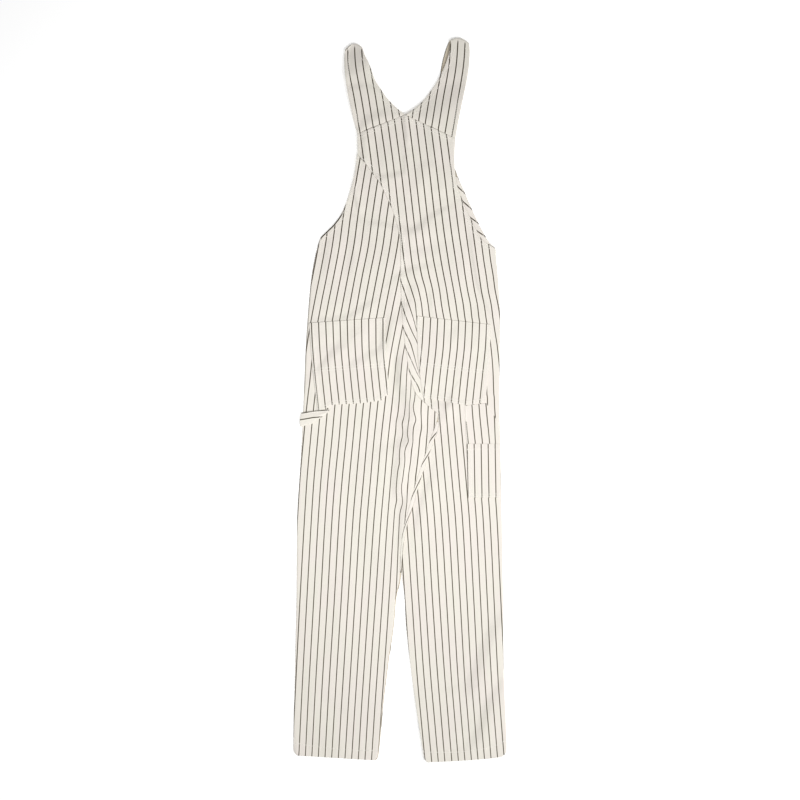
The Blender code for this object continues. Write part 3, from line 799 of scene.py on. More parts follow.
def crease(x, y, half_width, ridge, step, points):
    """A soft ridge, trough or step along a curve, fading out at its sides and both ends."""
    corners = np.array(points)
    low, high = corners.min(axis=0) - 2 * half_width, corners.max(axis=0) + 2 * half_width
    near = (x > low[0]) & (x < high[0]) & (y > low[1]) & (y < high[1])
    height = np.zeros(x.shape)
    if near.any():
        share, aside = along_path(x[near], y[near], points)
        ends = between(*CREASE_ENDS, share)
        t = aside / half_width
        turn = np.clip(t / STEP_TURN, -1.0, 1.0)
        swell = np.clip(1.0 - (t / STEP_REACH) ** 2, 0.0, 1.0) ** 2
        stepped = step * (1.5 * turn - 0.5 * turn ** 3) * swell
        height[near] = ends * (ridge * np.clip(1.0 - t * t, 0.0, 1.0) ** 2 + stepped)
    return height


def creases(place, x, y):
    """All the smaller creases of one piece."""
    height = np.zeros(x.shape)
    for where, half_width, ridge, step, *points in CREASES:
        if where == place or (where == "both" and place in ("left", "right")):
            height += crease(x, y, half_width, ridge, step, points)
    return height


def ripples(x, y):
    """Low unevenness of washed cotton that has been lying about."""
    out = np.zeros(x.size)
    for reach_x, reach_y, rise in RIPPLES:
        at = zip(x.ravel() / reach_x, y.ravel() / reach_y)
        out += [rise * noise.noise(Vector((a, b, reach_x))) for a, b in at]
    return out.reshape(x.shape) * (0.5 + 0.5 * smooth_step(*RIPPLED, y))


def back_height(side, x, y):
    """Mid-surface height of a back panel: over its front, with its puff and all its folds."""
    low, high = read(SIDES, "left", y), read(SIDES, "right", y)
    fold = inside_edge("fold", y)
    body = smooth_step(*FORK, y)
    if side == "left":
        leg = dome(x, low, fold)
        lift, over_edge = lap_lift(x, y), 0.0
    else:
        leg = dome(x, fold, high) * smooth_step(0.0, LEG_SHOULDER, x - fold)
        lift = curl(x, y) * smooth_step(0.0, LEG_SHOULDER, x - fold) + edge_lift(x, y)
        over_edge = edge_steps(x, y) - edge_lift(x, y)
    puff = body * read(LOFT, "body", y) * dome(x, low, high) + (1.0 - body) * read(LOFT, "leg", y) * leg
    beneath = FLOOR_LAYER + LAYER + lift + read(BIB_RISE, "rise", y)
    height = puff + over_edge + smooth_step(*CALM_SEAM, np.abs(x - fold)) * folds(side, x, y)
    inward = smooth_step(*CALM_EDGE, np.minimum(x - low, high - x))
    height += inward * (creases(side, x, y) + ripples(x, y))
    return beneath + np.maximum(height, DEEPEST)


def front_height(side, x, y):
    """Mid-surface height of a front panel: on the floor but where it laps or the bib rises."""
    if side == "left":
        lift = lap_lift(x, y)
    else:
        lift = curl(x, y) * fade(CURL_BELOW, read(SIDES, "right", y) - x) + edge_lift(x, y)
    return FLOOR_LAYER + lift + read(BIB_RISE, "rise", y)


def hem_drop(side, x, y):
    """The hems slope down towards the inside leg."""
    drop, power = HEM_DROP[side]
    edge = read(SIDES, side, y)
    inner = inside_edge("fold" if side == "left" else "right", y)
    inward = np.clip((x - edge) / (inner - edge), 0.0, 1.0)
    return y - drop * inward ** power * falling(*HEM_BEND, y)


def hem_form(x, y):
    """The turned-up hem: twice as thick, with small puckers along its stitches."""
    above = y - HEM - HEM_DEPTH
    turned = HEM_RISE * falling(*HEM_END, above)
    waves = np.sin(x * 2 * pi / PUCKER_PITCH + np.sin(x / PUCKER_DRIFT))
    from_stitches = above + (HEM_DEPTH - HEM_STITCHES)
    return turned + PUCKER * waves * np.exp(-(from_stitches / PUCKER_REACH) ** 2)


def welt(edge, distance):
    """A folded seam allowance: a flat step along an edge."""
    return WELT_RISE[edge] * falling(*WELT_END, distance)


def dip(edge, distance):
    """How far the cloth sinks beside a seam."""
    depth, reach = DIP[edge]
    return -depth * fade(reach, distance)


def sewn(distance, insets=TWIN_ROWS, depth=FURROW_DEPTH):
    """The small furrows in which rows of stitches lie."""
    return sum(-depth * np.exp(-((distance - inset) / FURROW_WIDTH) ** 2) for inset in insets)


def roll(edge, distance):
    """An edge that turns down over a small radius."""
    reach, drop = ROLL[edge]
    t = np.clip(1.0 - distance / reach, 0.0, 1.0)
    return -drop * (1.0 - np.sqrt(np.clip(1.0 - t * t, 0.0, 1.0)))


def stripe_at(name, x, y):
    """How many stripes across a point lies, whole numbers being the stripes themselves."""
    tab = STRIPES[name]
    numbers = [key for key in tab if key != "y"]
    marks = np.array(numbers, float)
    places = np.stack([read(tab, number, y) for number in numbers], axis=-1)
    out = marks[0] + (x - places[..., 0]) / PITCH
    for i in range(len(marks) - 1):
        low, high = places[..., i], places[..., i + 1]
        here = marks[i] + (x - low) / (high - low) * (marks[i + 1] - marks[i])
        out = np.where(x > low, here, out)
    return np.where(x > places[..., -1], marks[-1] + (x - places[..., -1]) / PITCH, out)


def slanting_stripe_at(name, x, y):
    """How many stripes down a narrow piece a point lies, where they slant between its two edges."""
    tab = SLANTING[name]
    left, right = (joined(y, tab[edge], tab["stripe"]) for edge in ("left", "right"))
    return left + (right - left) * (x - x[:, :1]) / (x[:, -1:] - x[:, :1])


def pulled(x, y):
    """Where the cloth at a place would lie if the creases had not drawn it sideways."""
    for pull_x, pull_y, pull, reach_x, reach_y in PULLS:
        x = x - pull * np.exp(-((x - pull_x) / reach_x) ** 2 - ((y - pull_y) / reach_y) ** 2)
    return x


def in_box(x, y, box):
    """Which places lie in a box on the plan."""
    return (x > box[0]) & (x < box[1]) & (y > box[2]) & (y < box[3])


# ---- grids of points


def spread(first, last, beside_first, beside_last, count):
    """Values from first to last: the given distances from each end, and even steps between them."""
    length = np.abs(last - first)[:, None]
    near, far = np.array(beside_first), np.array(beside_last)[::-1]
    squeeze = np.minimum(1.0, SHORT_ROW * length / (near[-1] + far[0]))
    start = squeeze * near
    end = length - squeeze * far
    share = np.linspace(0.0, 1.0, count + 1)[1:-1]
    middle = start[:, -1:] + (end[:, :1] - start[:, -1:]) * share
    return first[:, None] + np.sign(last - first)[:, None] * np.concatenate((start, middle, end), axis=1)


def rows_between(top, foot, spacing, beside_top=RIM, beside_foot=RIM):
    """Heights of rows, from the top down."""
    count = max(2, int(round((top - foot) / spacing)))
    return spread(np.array([top]), np.array([foot]), beside_top, beside_foot, count)[0]


def level_grid(rows_y, left, right, count, beside_left=RIM, beside_right=RIM):
    """Plan points on level rows between two edges."""
    x = spread(left, right, beside_left, beside_right, count)
    return x, np.repeat(rows_y[:, None], x.shape[1], axis=1)


def half_gap(seam, rows_y):
    """Half the gap between two sewn pieces, measured along a level row beside a slanting seam."""
    return SEAM_GAP / 2 * np.sqrt(1.0 + np.gradient(seam, rows_y) ** 2)


def distance_from(edge, rows_y, x):
    """Distance of points from a slanting edge, square to it."""
    slope = np.gradient(edge, rows_y)
    return np.abs(x - edge[:, None]) / np.sqrt(1.0 + slope ** 2)[:, None]


def from_ends(x):
    """Distance of a grid's points from the nearer end of their row."""
    return np.minimum(x - x[:, :1], x[:, -1:] - x)


def unit(vectors):
    """Vectors of length 1, and 0 where there was none."""
    return vectors / np.maximum(np.linalg.norm(vectors, axis=-1, keepdims=True), 1e-9)


def normals(points):
    """Unit normals of a grid of points."""
    return unit(np.cross(np.gradient(points, axis=0), np.gradient(points, axis=1)))


def outward(points):
    """On the rim of a grid, unit steps out of it; inside the grid, none."""
    out = np.zeros_like(points)
    out[:, 0] += unit(points[:, 0] - points[:, 1])
    out[:, -1] += unit(points[:, -1] - points[:, -2])
    out[0] += unit(points[0] - points[1])
    out[-1] += unit(points[-1] - points[-2])
    return unit(out)


def rim_of(rows, columns):
    """Indices of a grid's rim, once round."""
    index = np.arange(rows * columns).reshape(rows, columns)
    return np.concatenate((index[:-1, 0], index[-1, :-1], index[:0:-1, -1], index[0, :0:-1]))


def ring_of_faces(upper, lower):
    """Faces between two rings of vertices."""
    return np.stack((np.roll(upper, -1), upper, lower, np.roll(lower, -1)), axis=1)


def shell(name, x, y, z, stripe, plain=0.0, line=0.0, outside_up=True, half=HALF):
    """A closed shell of cloth about a mid-surface, with rounded rims and its woven stripes as UVs."""
    points = np.stack((x, y, z), axis=2)
    rows, columns = x.shape
    count = rows * columns
    normal, out = normals(points), outward(points)
    centre = points - out * half * RIM_INSET
    rim = rim_of(rows, columns)
    rim_centre, rim_out, rim_up = (field.reshape(-1, 3)[rim] for field in (centre, out, normal))
    rings = [rim_centre + half * (np.cos(a) * rim_out + np.sin(a) * rim_up) for a in RIM_ANGLES]
    both_sides = [(centre + normal * sign * half).reshape(-1, 3) for sign in (1.0, -1.0)]
    vertices = np.concatenate(both_sides + rings)
    source = np.concatenate([np.arange(count), np.arange(count)] + [rim] * len(rings))

    corner = np.arange(count).reshape(rows, columns)[:-1, :-1].ravel()
    upper = np.stack((corner, corner + columns, corner + columns + 1, corner + 1), axis=1)
    lower = upper[:, ::-1] + count
    made = [2 * count + i * len(rim) + np.arange(len(rim)) for i in range(len(rings))]
    levels = [rim] + made + [rim + count]
    sides = [ring_of_faces(above, below) for above, below in zip(levels, levels[1:])]
    faces = np.concatenate([upper, lower] + sides)

    mesh = new_mesh(name, (vertices * MM).tolist(), faces.tolist(), "outside", "inside")
    inner_face = np.zeros(len(faces), np.int32)
    first_inner = len(upper) if outside_up else 0
    inner_face[first_inner:first_inner + len(upper)] = 1
    mesh.polygons.foreach_set("material_index", inner_face)
    lay_stripes(mesh, np.ravel(stripe)[source], -np.ravel(y)[source] / PITCH)
    for layer, values in (("plain", plain), ("edge_line", line)):
        values = np.ravel(np.broadcast_to(values, x.shape))[source]
        mesh.attributes.new(layer, "FLOAT", "POINT").data.foreach_set("value", values.astype(np.float32))
    mesh.shade_smooth()
    mesh.validate()
    SURFACES[name] = centre + normal * half
    return add_piece(name + "_cloth", mesh)


def new_mesh(name, vertices, faces, *materials):
    """A mesh from vertices in metres and faces, with its materials."""
    mesh = bpy.data.meshes.new(name)
    mesh.from_pydata(vertices, [], faces)
    for material in materials:
        mesh.materials.append(MATERIALS[material])
    return mesh


def lay_stripes(mesh, stripe, along):
    """The stripe number as U and the way along the stripes as V."""
    corners = np.empty(len(mesh.loops), np.int32)
    mesh.loops.foreach_get("vertex_index", corners)
    uv = np.stack((stripe[corners], along[corners]), axis=1).astype(np.float32)
    mesh.uv_layers.new(name="Stripes").data.foreach_set("uv", uv.ravel())


def new_object(name, data, place=(0.0, 0.0, 0.0)):
    """A new object in the scene, at its place."""
    made = bpy.data.objects.new(name, data)
    made.location = place
    bpy.context.collection.objects.link(made)
    return made


def add_piece(name, mesh):
    """A new piece of the garment, which rides on its one body."""
    piece = new_object(name, mesh)
    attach(piece, "root")
    return piece


def cloth(name, *fields, **extras):
    """A shell in the place of the piece's plain solid."""
    piece = shell(name, *fields, **extras)
    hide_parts(name)
    return piece


# ---- materials


class Nodes:
    """A short way to write a material's nodes."""

    def __init__(self, name):
        self.material = bpy.data.materials.new(name)
        self.material.use_nodes = True
        self.tree = self.material.node_tree
        self.shader = self.tree.nodes["Principled BSDF"]

    def add(self, kind, **settings):
        node = self.tree.nodes.new(kind)
        for key, value in settings.items():
            setattr(node, key, value)
        return node

    def fill(self, node, values):
        """Numbers, colours or links in a node's inputs."""
        for key, value in values.items():
            if isinstance(value, bpy.types.NodeSocket):
                self.tree.links.new(value, node.inputs[key])
            else:
                node.inputs[key].default_value = value

    def made(self, kind, *values, **settings):
        """The first output of a new node, with its first inputs filled."""
        node = self.add(kind, **settings)
        self.fill(node, dict(enumerate(values)))
        return node.outputs[0]

    def math(self, operation, *values, clamp=False):
        return self.made("ShaderNodeMath", *values, operation=operation, use_clamp=clamp)

    def times(self, first, second):
        return self.math("MULTIPLY", first, second)

    def scaled(self, value, factor, start):
        return self.math("MULTIPLY_ADD", value, factor, start)

    def swing(self, value, amount):
        """A noise about 0.5 turned into one about 0."""
        return self.times(self.math("SUBTRACT", value, 0.5), amount)

    def total(self, *values):
        result = values[0]
        for value in values[1:]:
            result = self.math("ADD", result, value)
        return result

    def ramp(self, value, low, high, start=0.0, end=1.0):
        return self.made("ShaderNodeMapRange", value, low, high, start, end, interpolation_type="SMOOTHSTEP")

    def blend(self, share, first, second, how="MIX"):
        node = self.add("ShaderNodeMix", data_type="RGBA", blend_type=how)
        self.fill(node, {0: share, 6: first, 7: second})
        return node.outputs[2]

    def noise(self, place, scale, detail=2.0, roughness=0.5):
        stretched = self.made("ShaderNodeVectorMath", place, scale, operation="MULTIPLY")
        node = self.add("ShaderNodeTexNoise")
        self.fill(node, {"Vector": stretched, "Scale": 1.0, "Detail": detail, "Roughness": roughness})
        return node.outputs[0]

    def object_place(self):
        return self.add("ShaderNodeTexCoord").outputs["Object"]

    def parts(self, vector):
        node = self.add("ShaderNodeSeparateXYZ")
        self.fill(node, {0: vector})
        return node.outputs

    def painted(self, layer):
        return self.add("ShaderNodeAttribute", attribute_name=layer).outputs["Fac"]

    def bump(self, height, strength, distance):
        node = self.add("ShaderNodeBump")
        self.fill(node, {"Strength": strength, "Distance": distance, "Height": height})
        return node.outputs[0]

    def finished(self, values):
        """The material, with its shader's inputs filled."""
        self.fill(self.shader, values)
        return self.material


def cotton(name, cream, warm_cream, stripe_colour, lower_stripe, stripe_strength):
    """Cotton twill with narrow woven stripes, one at each whole number of U, 14 mm apart."""
    m = Nodes(name)
    uv = m.made("ShaderNodeUVMap", uv_map="Stripes")
    u, v, _ = m.parts(uv)
    twill = m.math("SINE", m.times(m.total(m.times(u, TWILL_SLANT), v), 2 * pi * TWILL_LINES))
    thread = m.math("SINE", m.times(u, 2 * pi * THREAD_LINES))

    # Stripes, frayed a little by their yarns and broken by the twill's picks
    yarn = m.noise(uv, (9.0, 26.0, 1.0))
    # Up the garment the stripes turn darker and a little wider, by height alone
    up_share = m.ramp(m.parts(m.object_place())[1], *STRIPES_DARKEN_UPWARD)
    from_stripe = m.math("ABSOLUTE", m.math("SUBTRACT", m.math("FRACT", m.total(u, 0.5)), 0.5))
    from_stripe = m.total(from_stripe, m.swing(yarn, STRIPE_FRAY), m.times(up_share, -UPPER_STRIPE_WIDENING))
    stripe = m.times(m.ramp(from_stripe, *STRIPE_EDGE, 1.0, 0.0), m.scaled(twill, 0.06, 0.94))
    # Where cloth is marked plain its stripes are left out; round the straps' folds this is a painted
    # highlight
    stripe = m.times(stripe, m.math("SUBTRACT", 1.0, m.painted("plain")))
    # A dark line painted along the left back's outer edge, in the stripes' colour
    stripe = m.math("MAXIMUM", stripe, m.painted("edge_line"))
    stripe = m.math("MULTIPLY", stripe, stripe_strength, clamp=True)

    # Cream ground: broad warm and cool patches, lengthwise bands, slubs and specks
    broad = m.noise(m.object_place(), (9.0, 9.0, 9.0), 3.0)
    bands = m.noise(uv, (3.2, 0.12, 1.0), 3.0)
    slubs = m.noise(uv, (40.0, 2.2, 1.0), 3.0, 0.65)
    specks = m.noise(uv, (30.0, 30.0, 1.0), 2.0, 0.7)
    beside = m.ramp(from_stripe, *LIGHT_EDGE, 0.045, -0.012)
    tone = m.total(1.0, beside, m.swing(bands, 0.07), m.swing(slubs, 0.10), m.swing(specks, 0.05),
                   m.times(twill, 0.012))
    warmth = m.times(m.total(m.ramp(broad, 0.38, 0.62), m.ramp(bands, 0.36, 0.64)), 0.5)
    ground = m.blend(warmth, cream, warm_cream)
    dyed = m.blend(up_share, lower_stripe, stripe_colour)
    grey = m.made("ShaderNodeCombineColor", tone, tone, tone)

    weave = m.total(m.times(twill, 0.5), m.times(thread, 0.25), m.times(slubs, 1.6))
    return m.finished({
        "Base Color": m.blend(1.0, m.blend(stripe, ground, dyed), grey, "MULTIPLY"),
        "Roughness": m.scaled(specks, 0.12, 0.82),
        "Normal": m.bump(weave, 0.45, 0.00012),
        "Specular IOR Level": 0.15,
        "Sheen Weight": 0.1,
        "Sheen Roughness": 0.5,
        "Sheen Tint": (1.0, 0.98, 0.94, 1.0),
    })


def sewing_thread():
    """Off-white twisted thread."""
    m = Nodes("sewing_thread")
    fleck = m.noise(m.object_place(), (900.0, 900.0, 900.0))
    twist = m.noise(m.object_place(), (2500.0, 2500.0, 2500.0))
    return m.finished({
        "Base Color": m.blend(fleck, (0.82, 0.79, 0.72, 1.0), (0.92, 0.90, 0.85, 1.0)),
        "Roughness": m.scaled(fleck, 0.1, 0.5),
        "Normal": m.bump(twist, 0.4, 0.0001),
        "Sheen Weight": 0.3,
    })


def button_brown():
    """Clouded brown, a little glossy."""
    m = Nodes("button_brown")
    cloud = m.noise(m.object_place(), (140.0, 140.0, 420.0), 4.0, 0.6)
    return m.finished({
        "Base Color": m.blend(cloud, (0.055, 0.032, 0.018, 1.0), (0.13, 0.078, 0.042, 1.0)),
        "Roughness": m.scaled(cloud, 0.2, 0.36),
        "Coat Weight": 0.15,
    })


def floor_white():
    """Matt white paper, which glows a little so that it stays white beside the cloth."""
    return Nodes("floor_white").finished({
        "Base Color": (0.97, 0.97, 0.97, 1.0),
        "Roughness": 0.9,
        "Specular IOR Level": 0.1,
        "Emission Color": WHITE,
        "Emission Strength": FLOOR_GLOW,
    })


# ---- pieces of cloth


def back_panel_left():
    """From the lapped seam at the top to the hem, with the turned edge of the left armhole."""
    rows_y = rows_between(SPLIT_TOP, HEM, FINE, RIM, HEM_ROWS)
    seam, left = inside_edge("seam", rows_y), read(SIDES, "left", rows_y)
    right = seam - half_gap(seam, rows_y)
    x, y = level_grid(rows_y, left, right, BACK_COLUMNS, SEWN_COLUMNS, RIM)
    from_side, from_seam = distance_from(left, rows_y, x), distance_from(right, rows_y, x)
    z = back_height("left", x, y) + side_edge(from_side, y) + hem_form(x, y)
    z += dip("centre", from_seam)
    # A dark line painted along the outer edge, round the armhole and down the side
    lines = [strength * between(rise, fall, y) * falling(*width, from_side)
             for strength, rise, fall, width in EDGE_LINES]
    stripe = stripe_at("back_panel_left", pulled(x, y), y)
    return cloth("back_panel_left", x, hem_drop("left", x, y), z, stripe, line=np.maximum(*lines))


def side_edge(from_side, y):
    """A back's outer edge: turned in and stitched round the armhole, rounded over below it."""
    below_arm = falling(*UNDERARM, y)
    armhole = welt("armhole", from_side) + sewn(from_side)
    return below_arm * roll("side", from_side) + (1.0 - below_arm) * armhole


def yoke_grid(lower_x):
    """Plan points of the right back above the split, up to the two strap seams that meet in a peak."""
    (left_x, left_y), (right_x, right_y) = (STRAPS[side]["back"][0][:2] for side in ("left", "right"))
    share = (lower_x - lower_x[0]) / (lower_x[-1] - lower_x[0])
    top_x = left_x + (right_x - left_x) * share
    top_x[np.argmin(np.abs(top_x - NECK_POINT[0]))] = NECK_POINT[0]
    top_y = np.interp(top_x, (left_x, NECK_POINT[0], right_x), (left_y, NECK_POINT[1], right_y)) - SEAM_GAP
    lower_y = np.full(len(top_y), YOKE_FOOT)
    y = spread(top_y, lower_y, SEWN_COLUMNS, (0.0, 0.1), YOKE_ROWS).T[:-1]
    up = (y - lower_y) / (top_y - lower_y)
    return lower_x + (top_x - lower_x) * up, y, top_y - y


def back_panel_right():
    """From both strap seams to the hem, lapped over the left back and stitched down on it."""
    rows_y = rows_between(SPLIT_TOP, HEM, FINE, RIM, HEM_ROWS)
    seam, right = inside_edge("right", rows_y), read(SIDES, "right", rows_y)
    left = seam + half_gap(seam, rows_y)
    x, y = level_grid(rows_y, left, right, BACK_COLUMNS, SEWN_COLUMNS, SEWN_COLUMNS)
    from_seam, from_side = distance_from(left, rows_y, x), distance_from(right, rows_y, x)
    yoke_x, yoke_y, from_top = yoke_grid(x[0])
    from_side = np.concatenate((from_ends(yoke_x), from_side))
    from_seam = np.concatenate((np.full(yoke_x.shape, FAR), from_seam))
    from_top = np.concatenate((from_top, np.full(x.shape, FAR)))
    x, y = np.concatenate((yoke_x, x)), np.concatenate((yoke_y, y))
    z = back_height("right", x, y) + side_edge(from_side, y) + hem_form(x, y)
    z += welt("yoke", from_top) + sewn(from_top)
    z += smooth_step(*LAPPED, y) * (welt("lap", from_seam) + sewn(from_seam))
    stripe = stripe_at("back_panel_right", x, y)
    plain = in_box(x, y, GUSSET) | in_box(x, y, ARMHOLE_ROLL) & (from_side < ROLL_WIDTH)
    return cloth("back_panel_right", x, hem_drop("right", x, y), z, stripe, plain=plain)


def inseam_turn():
    """The strip of the left front that turns on to the back along the inside leg."""
    rows_y = rows_between(TURN_TOP, TURN_FOOT, FINE)
    seam, fold = read(INSIDE_LEG, "seam", rows_y), read(INSIDE_LEG, "fold", rows_y)
    x, y = level_grid(rows_y, seam + half_gap(seam, rows_y), fold, NARROW_COLUMNS)
    z = back_height("left", x, y) + roll("turn", distance_from(fold, rows_y, x)) + TURN_RISE
    return cloth("inseam_turn_left", x, y, z, slanting_stripe_at("inseam_turn_left", x, y))


def front_leg(side):
    """Plain beneath the back, from the waist seam of the bib to the hem."""
    rows_y = rows_between(WAIST, HEM, COARSE, RIM, HEM_ROWS)
    outer = read(SIDES, side, rows_y)
    inner = inside_edge("fold" if side == "left" else "right", rows_y)
    if side == "left":
        left, right = outer, inner - half_gap(inner, rows_y)
    else:
        left, right = inner + half_gap(inner, rows_y), outer
    x, y = level_grid(rows_y, left, right, PLAIN_COLUMNS)
    z = front_height(side, x, y) - roll("front", distance_from(outer, rows_y, x))
    stripe = (x - outer[:, None]) / PITCH + FRONT_STRIPE
    return cloth("front_leg_" + side, x, hem_drop(side, x, y), z, stripe, outside_up=False)


def front_bib():
    """Plain beneath the backs, from the waist to the top edge behind the neck."""
    rows_y = rows_between(BIB_TOP, WAIST + SEAM_GAP, COARSE)
    left, right = read(BIB_EDGES, "left", rows_y), read(BIB_EDGES, "right", rows_y)
    x, y = level_grid(rows_y, left, right, PLAIN_COLUMNS)
    return cloth("front_bib", x, y, front_height("right", x, y), x / PITCH, outside_up=False)


def armhole_facing():
    """Cut across the bib's stripes, beside the right back's armhole."""
    rows_y = rows_between(FACING_TOP, FACING_FOOT, FINE)
    edge, free = read(SIDES, "right", rows_y), read(BIB_EDGES, "right", rows_y)
    x, y = level_grid(rows_y, edge + 2 * half_gap(edge, rows_y), free, NARROW_COLUMNS + 1)
    z = front_height("right", x, y) + LAYER
    z += sewn(distance_from(free, rows_y, x), FACING_ROW, FAINT_DEPTH)
    return cloth("armhole_facing_right", x, y, z, slanting_stripe_at("armhole_facing_right", x, y))


def strap_sections(side, part):
    """A strap's sections at close steps along its length."""
    rows = np.array(STRAPS[side][part], float)
    at = walked(rows[:, :2])
    steps = np.linspace(0.0, at[-1], int(at[-1] / SMALL) + 1)
    return np.stack([read({"y": at, "size": column}, "size", steps) for column in rows.T], axis=1)


def walked(points):
    """Distance walked along a line of points, at each of them."""
    return np.concatenate(([0.0], np.cumsum(np.linalg.norm(np.diff(points, axis=0), axis=1))))


def strap(side):
    """A strap from its seam on the back, folded over at the top, down to its button on the bib."""
    name = "strap_" + side
    inset = spread(np.array([0.0]), np.array([STRAP_WIDTH]), SEWN_COLUMNS, SEWN_COLUMNS, STRAP_COLUMNS)[0]
    across = inset / STRAP_WIDTH
    share = 1.0 - across if side == "left" else across
    bow_shape = 1.0 - (2.0 * across - 1.0) ** 2

    def row(section):
        outer_x, outer_y, inner_x, inner_y, bow, z = section
        x = outer_x + (inner_x - outer_x) * share
        y = outer_y + (inner_y - outer_y) * share + bow * bow_shape
        return np.stack((x, y, np.full_like(x, z)), axis=1)

    back = np.array([row(section) for section in strap_sections(side, "back")])
    front = np.array([row(section) for section in strap_sections(side, "front")])
    turns = np.linspace(0.0, 1.0, STRAP_FOLD_ROWS + 1)[1:-1, None, None]
    fold = back[-1] + (front[0] - back[-1]) * turns
    fold[..., 1] += STRAP_FOLD_RADIUS * np.sin(pi * turns[..., 0])
    fold[..., 2] = FLOOR_LAYER + STRAP_FOLD_RADIUS * (1.0 + np.cos(pi * turns[..., 0]))

    x, y, z = np.moveaxis(np.concatenate((back, fold, front)), 2, 0).copy()
    last = len(back)
    down = walked(np.stack((x, y, z), axis=2)[:, len(across) // 2])[:, None]
    from_edge = np.minimum(across, 1.0 - across) * np.hypot(x[:, -1:] - x[:, :1], y[:, -1:] - y[:, :1])
    form = creases(name, x[:last], y[:last]) + STRAP_RIPPLED * ripples(x[:last], y[:last])
    calm = smooth_step(*STRAP_CALM_SEAM, down) * smooth_step(*STRAP_CALM_FOLD, down[last] - down)
    z[:last] += calm[:last] * form
    z[:last] += (welt("strap", from_edge) + sewn(from_edge) + dip("strap", down))[:last]

    # The stripes are drawn for the upper part and run on round the fold, where they are left out as a
    # painted highlight on its rounded top.
    stripe = stripe_at(name, x, y)
    stripe[last:] = stripe[last - 1]
    plain = np.exp(-((down - down[last] - STRAP_HIGHLIGHT_MIDDLE) / STRAP_HIGHLIGHT_REACH) ** 4)
    piece = cloth(name, x, y, z, stripe, plain=plain)
    SURFACES[name] = SURFACES[name][:last]
    return piece


def patch_grid(name):
    """Plan points of a patch, its distance off the cloth beneath, and how far in from its edges."""
    side, *sections = PATCHES[name]
    ends = np.array(sections)
    height, width = ends[0, 1] - ends[-1, 1], ends[0, 2] - ends[0, 0]
    from_top = rows_between(height, 0.0, SMALL, SEWN_COLUMNS, SEWN_COLUMNS)
    from_left = rows_between(width, 0.0, SMALL, SEWN_COLUMNS, SEWN_COLUMNS)
    down, across = 1.0 - from_top / height, 1.0 - from_left / width
    section = down * (len(sections) - 1)
    left_x, left_y, right_x, right_y, off = (
        np.interp(section, range(len(sections)), column)[:, None] for column in ends.T)
    edge, *bend = BENDS[name]
    shares, rises = np.array(bend).T
    near_edge = (down if edge == "foot" else 1.0 - down)[:, None]
    x = left_x + (right_x - left_x) * across
    y = left_y + (right_y - left_y) * across + near_edge * np.interp(across, shares, rises)
    return side, x, y, off, y[:1] - y, y - y[-1:], from_ends(x)


def patch(name, rows_down=(), plain_box=NOWHERE):
    """A patch on a back, turned in and stitched down round its sides and foot."""
    side, x, y, off, from_top, from_foot, from_side = patch_grid(name)
    from_edge = np.minimum(from_side, from_foot)
    z = back_height(side, x, y) + HALF + PATCH_HALF + off
    z += welt("patch", from_edge) + sewn(from_edge) + dip("patch", from_edge)
    z += sewn(from_top, MOUTH_FOLD, FAINT_DEPTH) + sewn(from_top, rows_down)
    stripe = stripe_at(name, x, y) if name in STRIPES else loop_stripe(x, y)
    return cloth(name, x, y, z, stripe, plain=in_box(x, y, plain_box), half=PATCH_HALF)


def loop_stripe(x, y):
    """The hammer loop's stripes, along its length: one down its middle and one at its top edge."""
    below = joined(x, LOOP_STRIPE["x"], LOOP_STRIPE["y"]) - y
    return below / np.where(below < 0.0, LOOP_STRIPE_GAP["above"], LOOP_STRIPE_GAP["below"])


# ---- stitches


def beside_edge(surface, edge, inset):
    """A line on a grid of surface points, at a distance inwards from one of its four edges."""
    turned = np.swapaxes(surface, 0, 1)
    inward = {"left": surface, "right": surface[:, ::-1], "top": turned, "foot": turned[:, ::-1]}[edge]
    along = unit(np.gradient(inward[:, 0], axis=0))
    sine = np.linalg.norm(np.cross(unit(inward[:, 1] - inward[:, 0]), along), axis=1)
    line = []
    for row, reach in zip(inward, inset / np.maximum(sine, 0.3)):
        at = walked(row)
        if at[-1] > reach + ROW_ROOM:
            line.append([np.interp(reach, at, row[:, k]) for k in range(3)])
    return np.array(line)


def stitch(mid, way):
    """Vertices of one stitch: a short thread whose ends dip into the cloth."""
    side = unit(np.cross((0.0, 0.0, 1.0), way))
    up = np.cross(way, side)
    angles = np.linspace(0.0, 2 * pi, STITCH_SIDES, endpoint=False)[:, None]
    ring = side * np.cos(angles) + up * np.sin(angles)
    return [mid + way * STITCH * share + up * sink + ring * STITCH_RADIUS * swell
            for share, swell, sink in STITCH_PROFILE]


def point_on(line, at, place):
    """The point of a line at a distance walked along it."""
    return np.array([np.interp(place, at, line[:, k]) for k in range(3)])


def stitches(name, lines):
    """Rows of stitches along lines of surface points."""
    rings, faces = [], []
    around = np.arange(STITCH_SIDES)
    for line in lines:
        at = walked(line)
        for place in np.arange(STITCH_STEP / 2, at[-1] - STITCH_STEP / 4, STITCH_STEP):
            behind, mid, ahead = (point_on(line, at, place + step) for step in STITCH_LOOK)
            first = len(rings) * STITCH_SIDES
            rings += stitch(mid, unit(ahead - behind))
            for level in range(len(STITCH_PROFILE) - 1):
                lower = first + level * STITCH_SIDES + around
                faces += ring_of_faces(lower + STITCH_SIDES, lower).tolist()
            last = first + (len(STITCH_PROFILE) - 1) * STITCH_SIDES
            faces += [(first + around).tolist(), (last + around[::-1]).tolist()]
    mesh = new_mesh(name, (np.concatenate(rings) * MM).tolist(), faces, "thread")
    mesh.shade_smooth()
    return add_piece(name, mesh)


def stitch_rows(*prefixes):
    """The lines of the stitch table on pieces whose names start so."""
    lines = []
    for names, edges, insets, (highest, lowest) in STITCH_ROWS:
        for name, edge, inset in product(names.split(), edges.split(), insets):
            if name.startswith(prefixes):
                line = beside_edge(SURFACES[name], edge, inset)
                within = (line[:, 1] <= highest) & (line[:, 1] >= lowest)
                lines.append(line[within])
    return lines


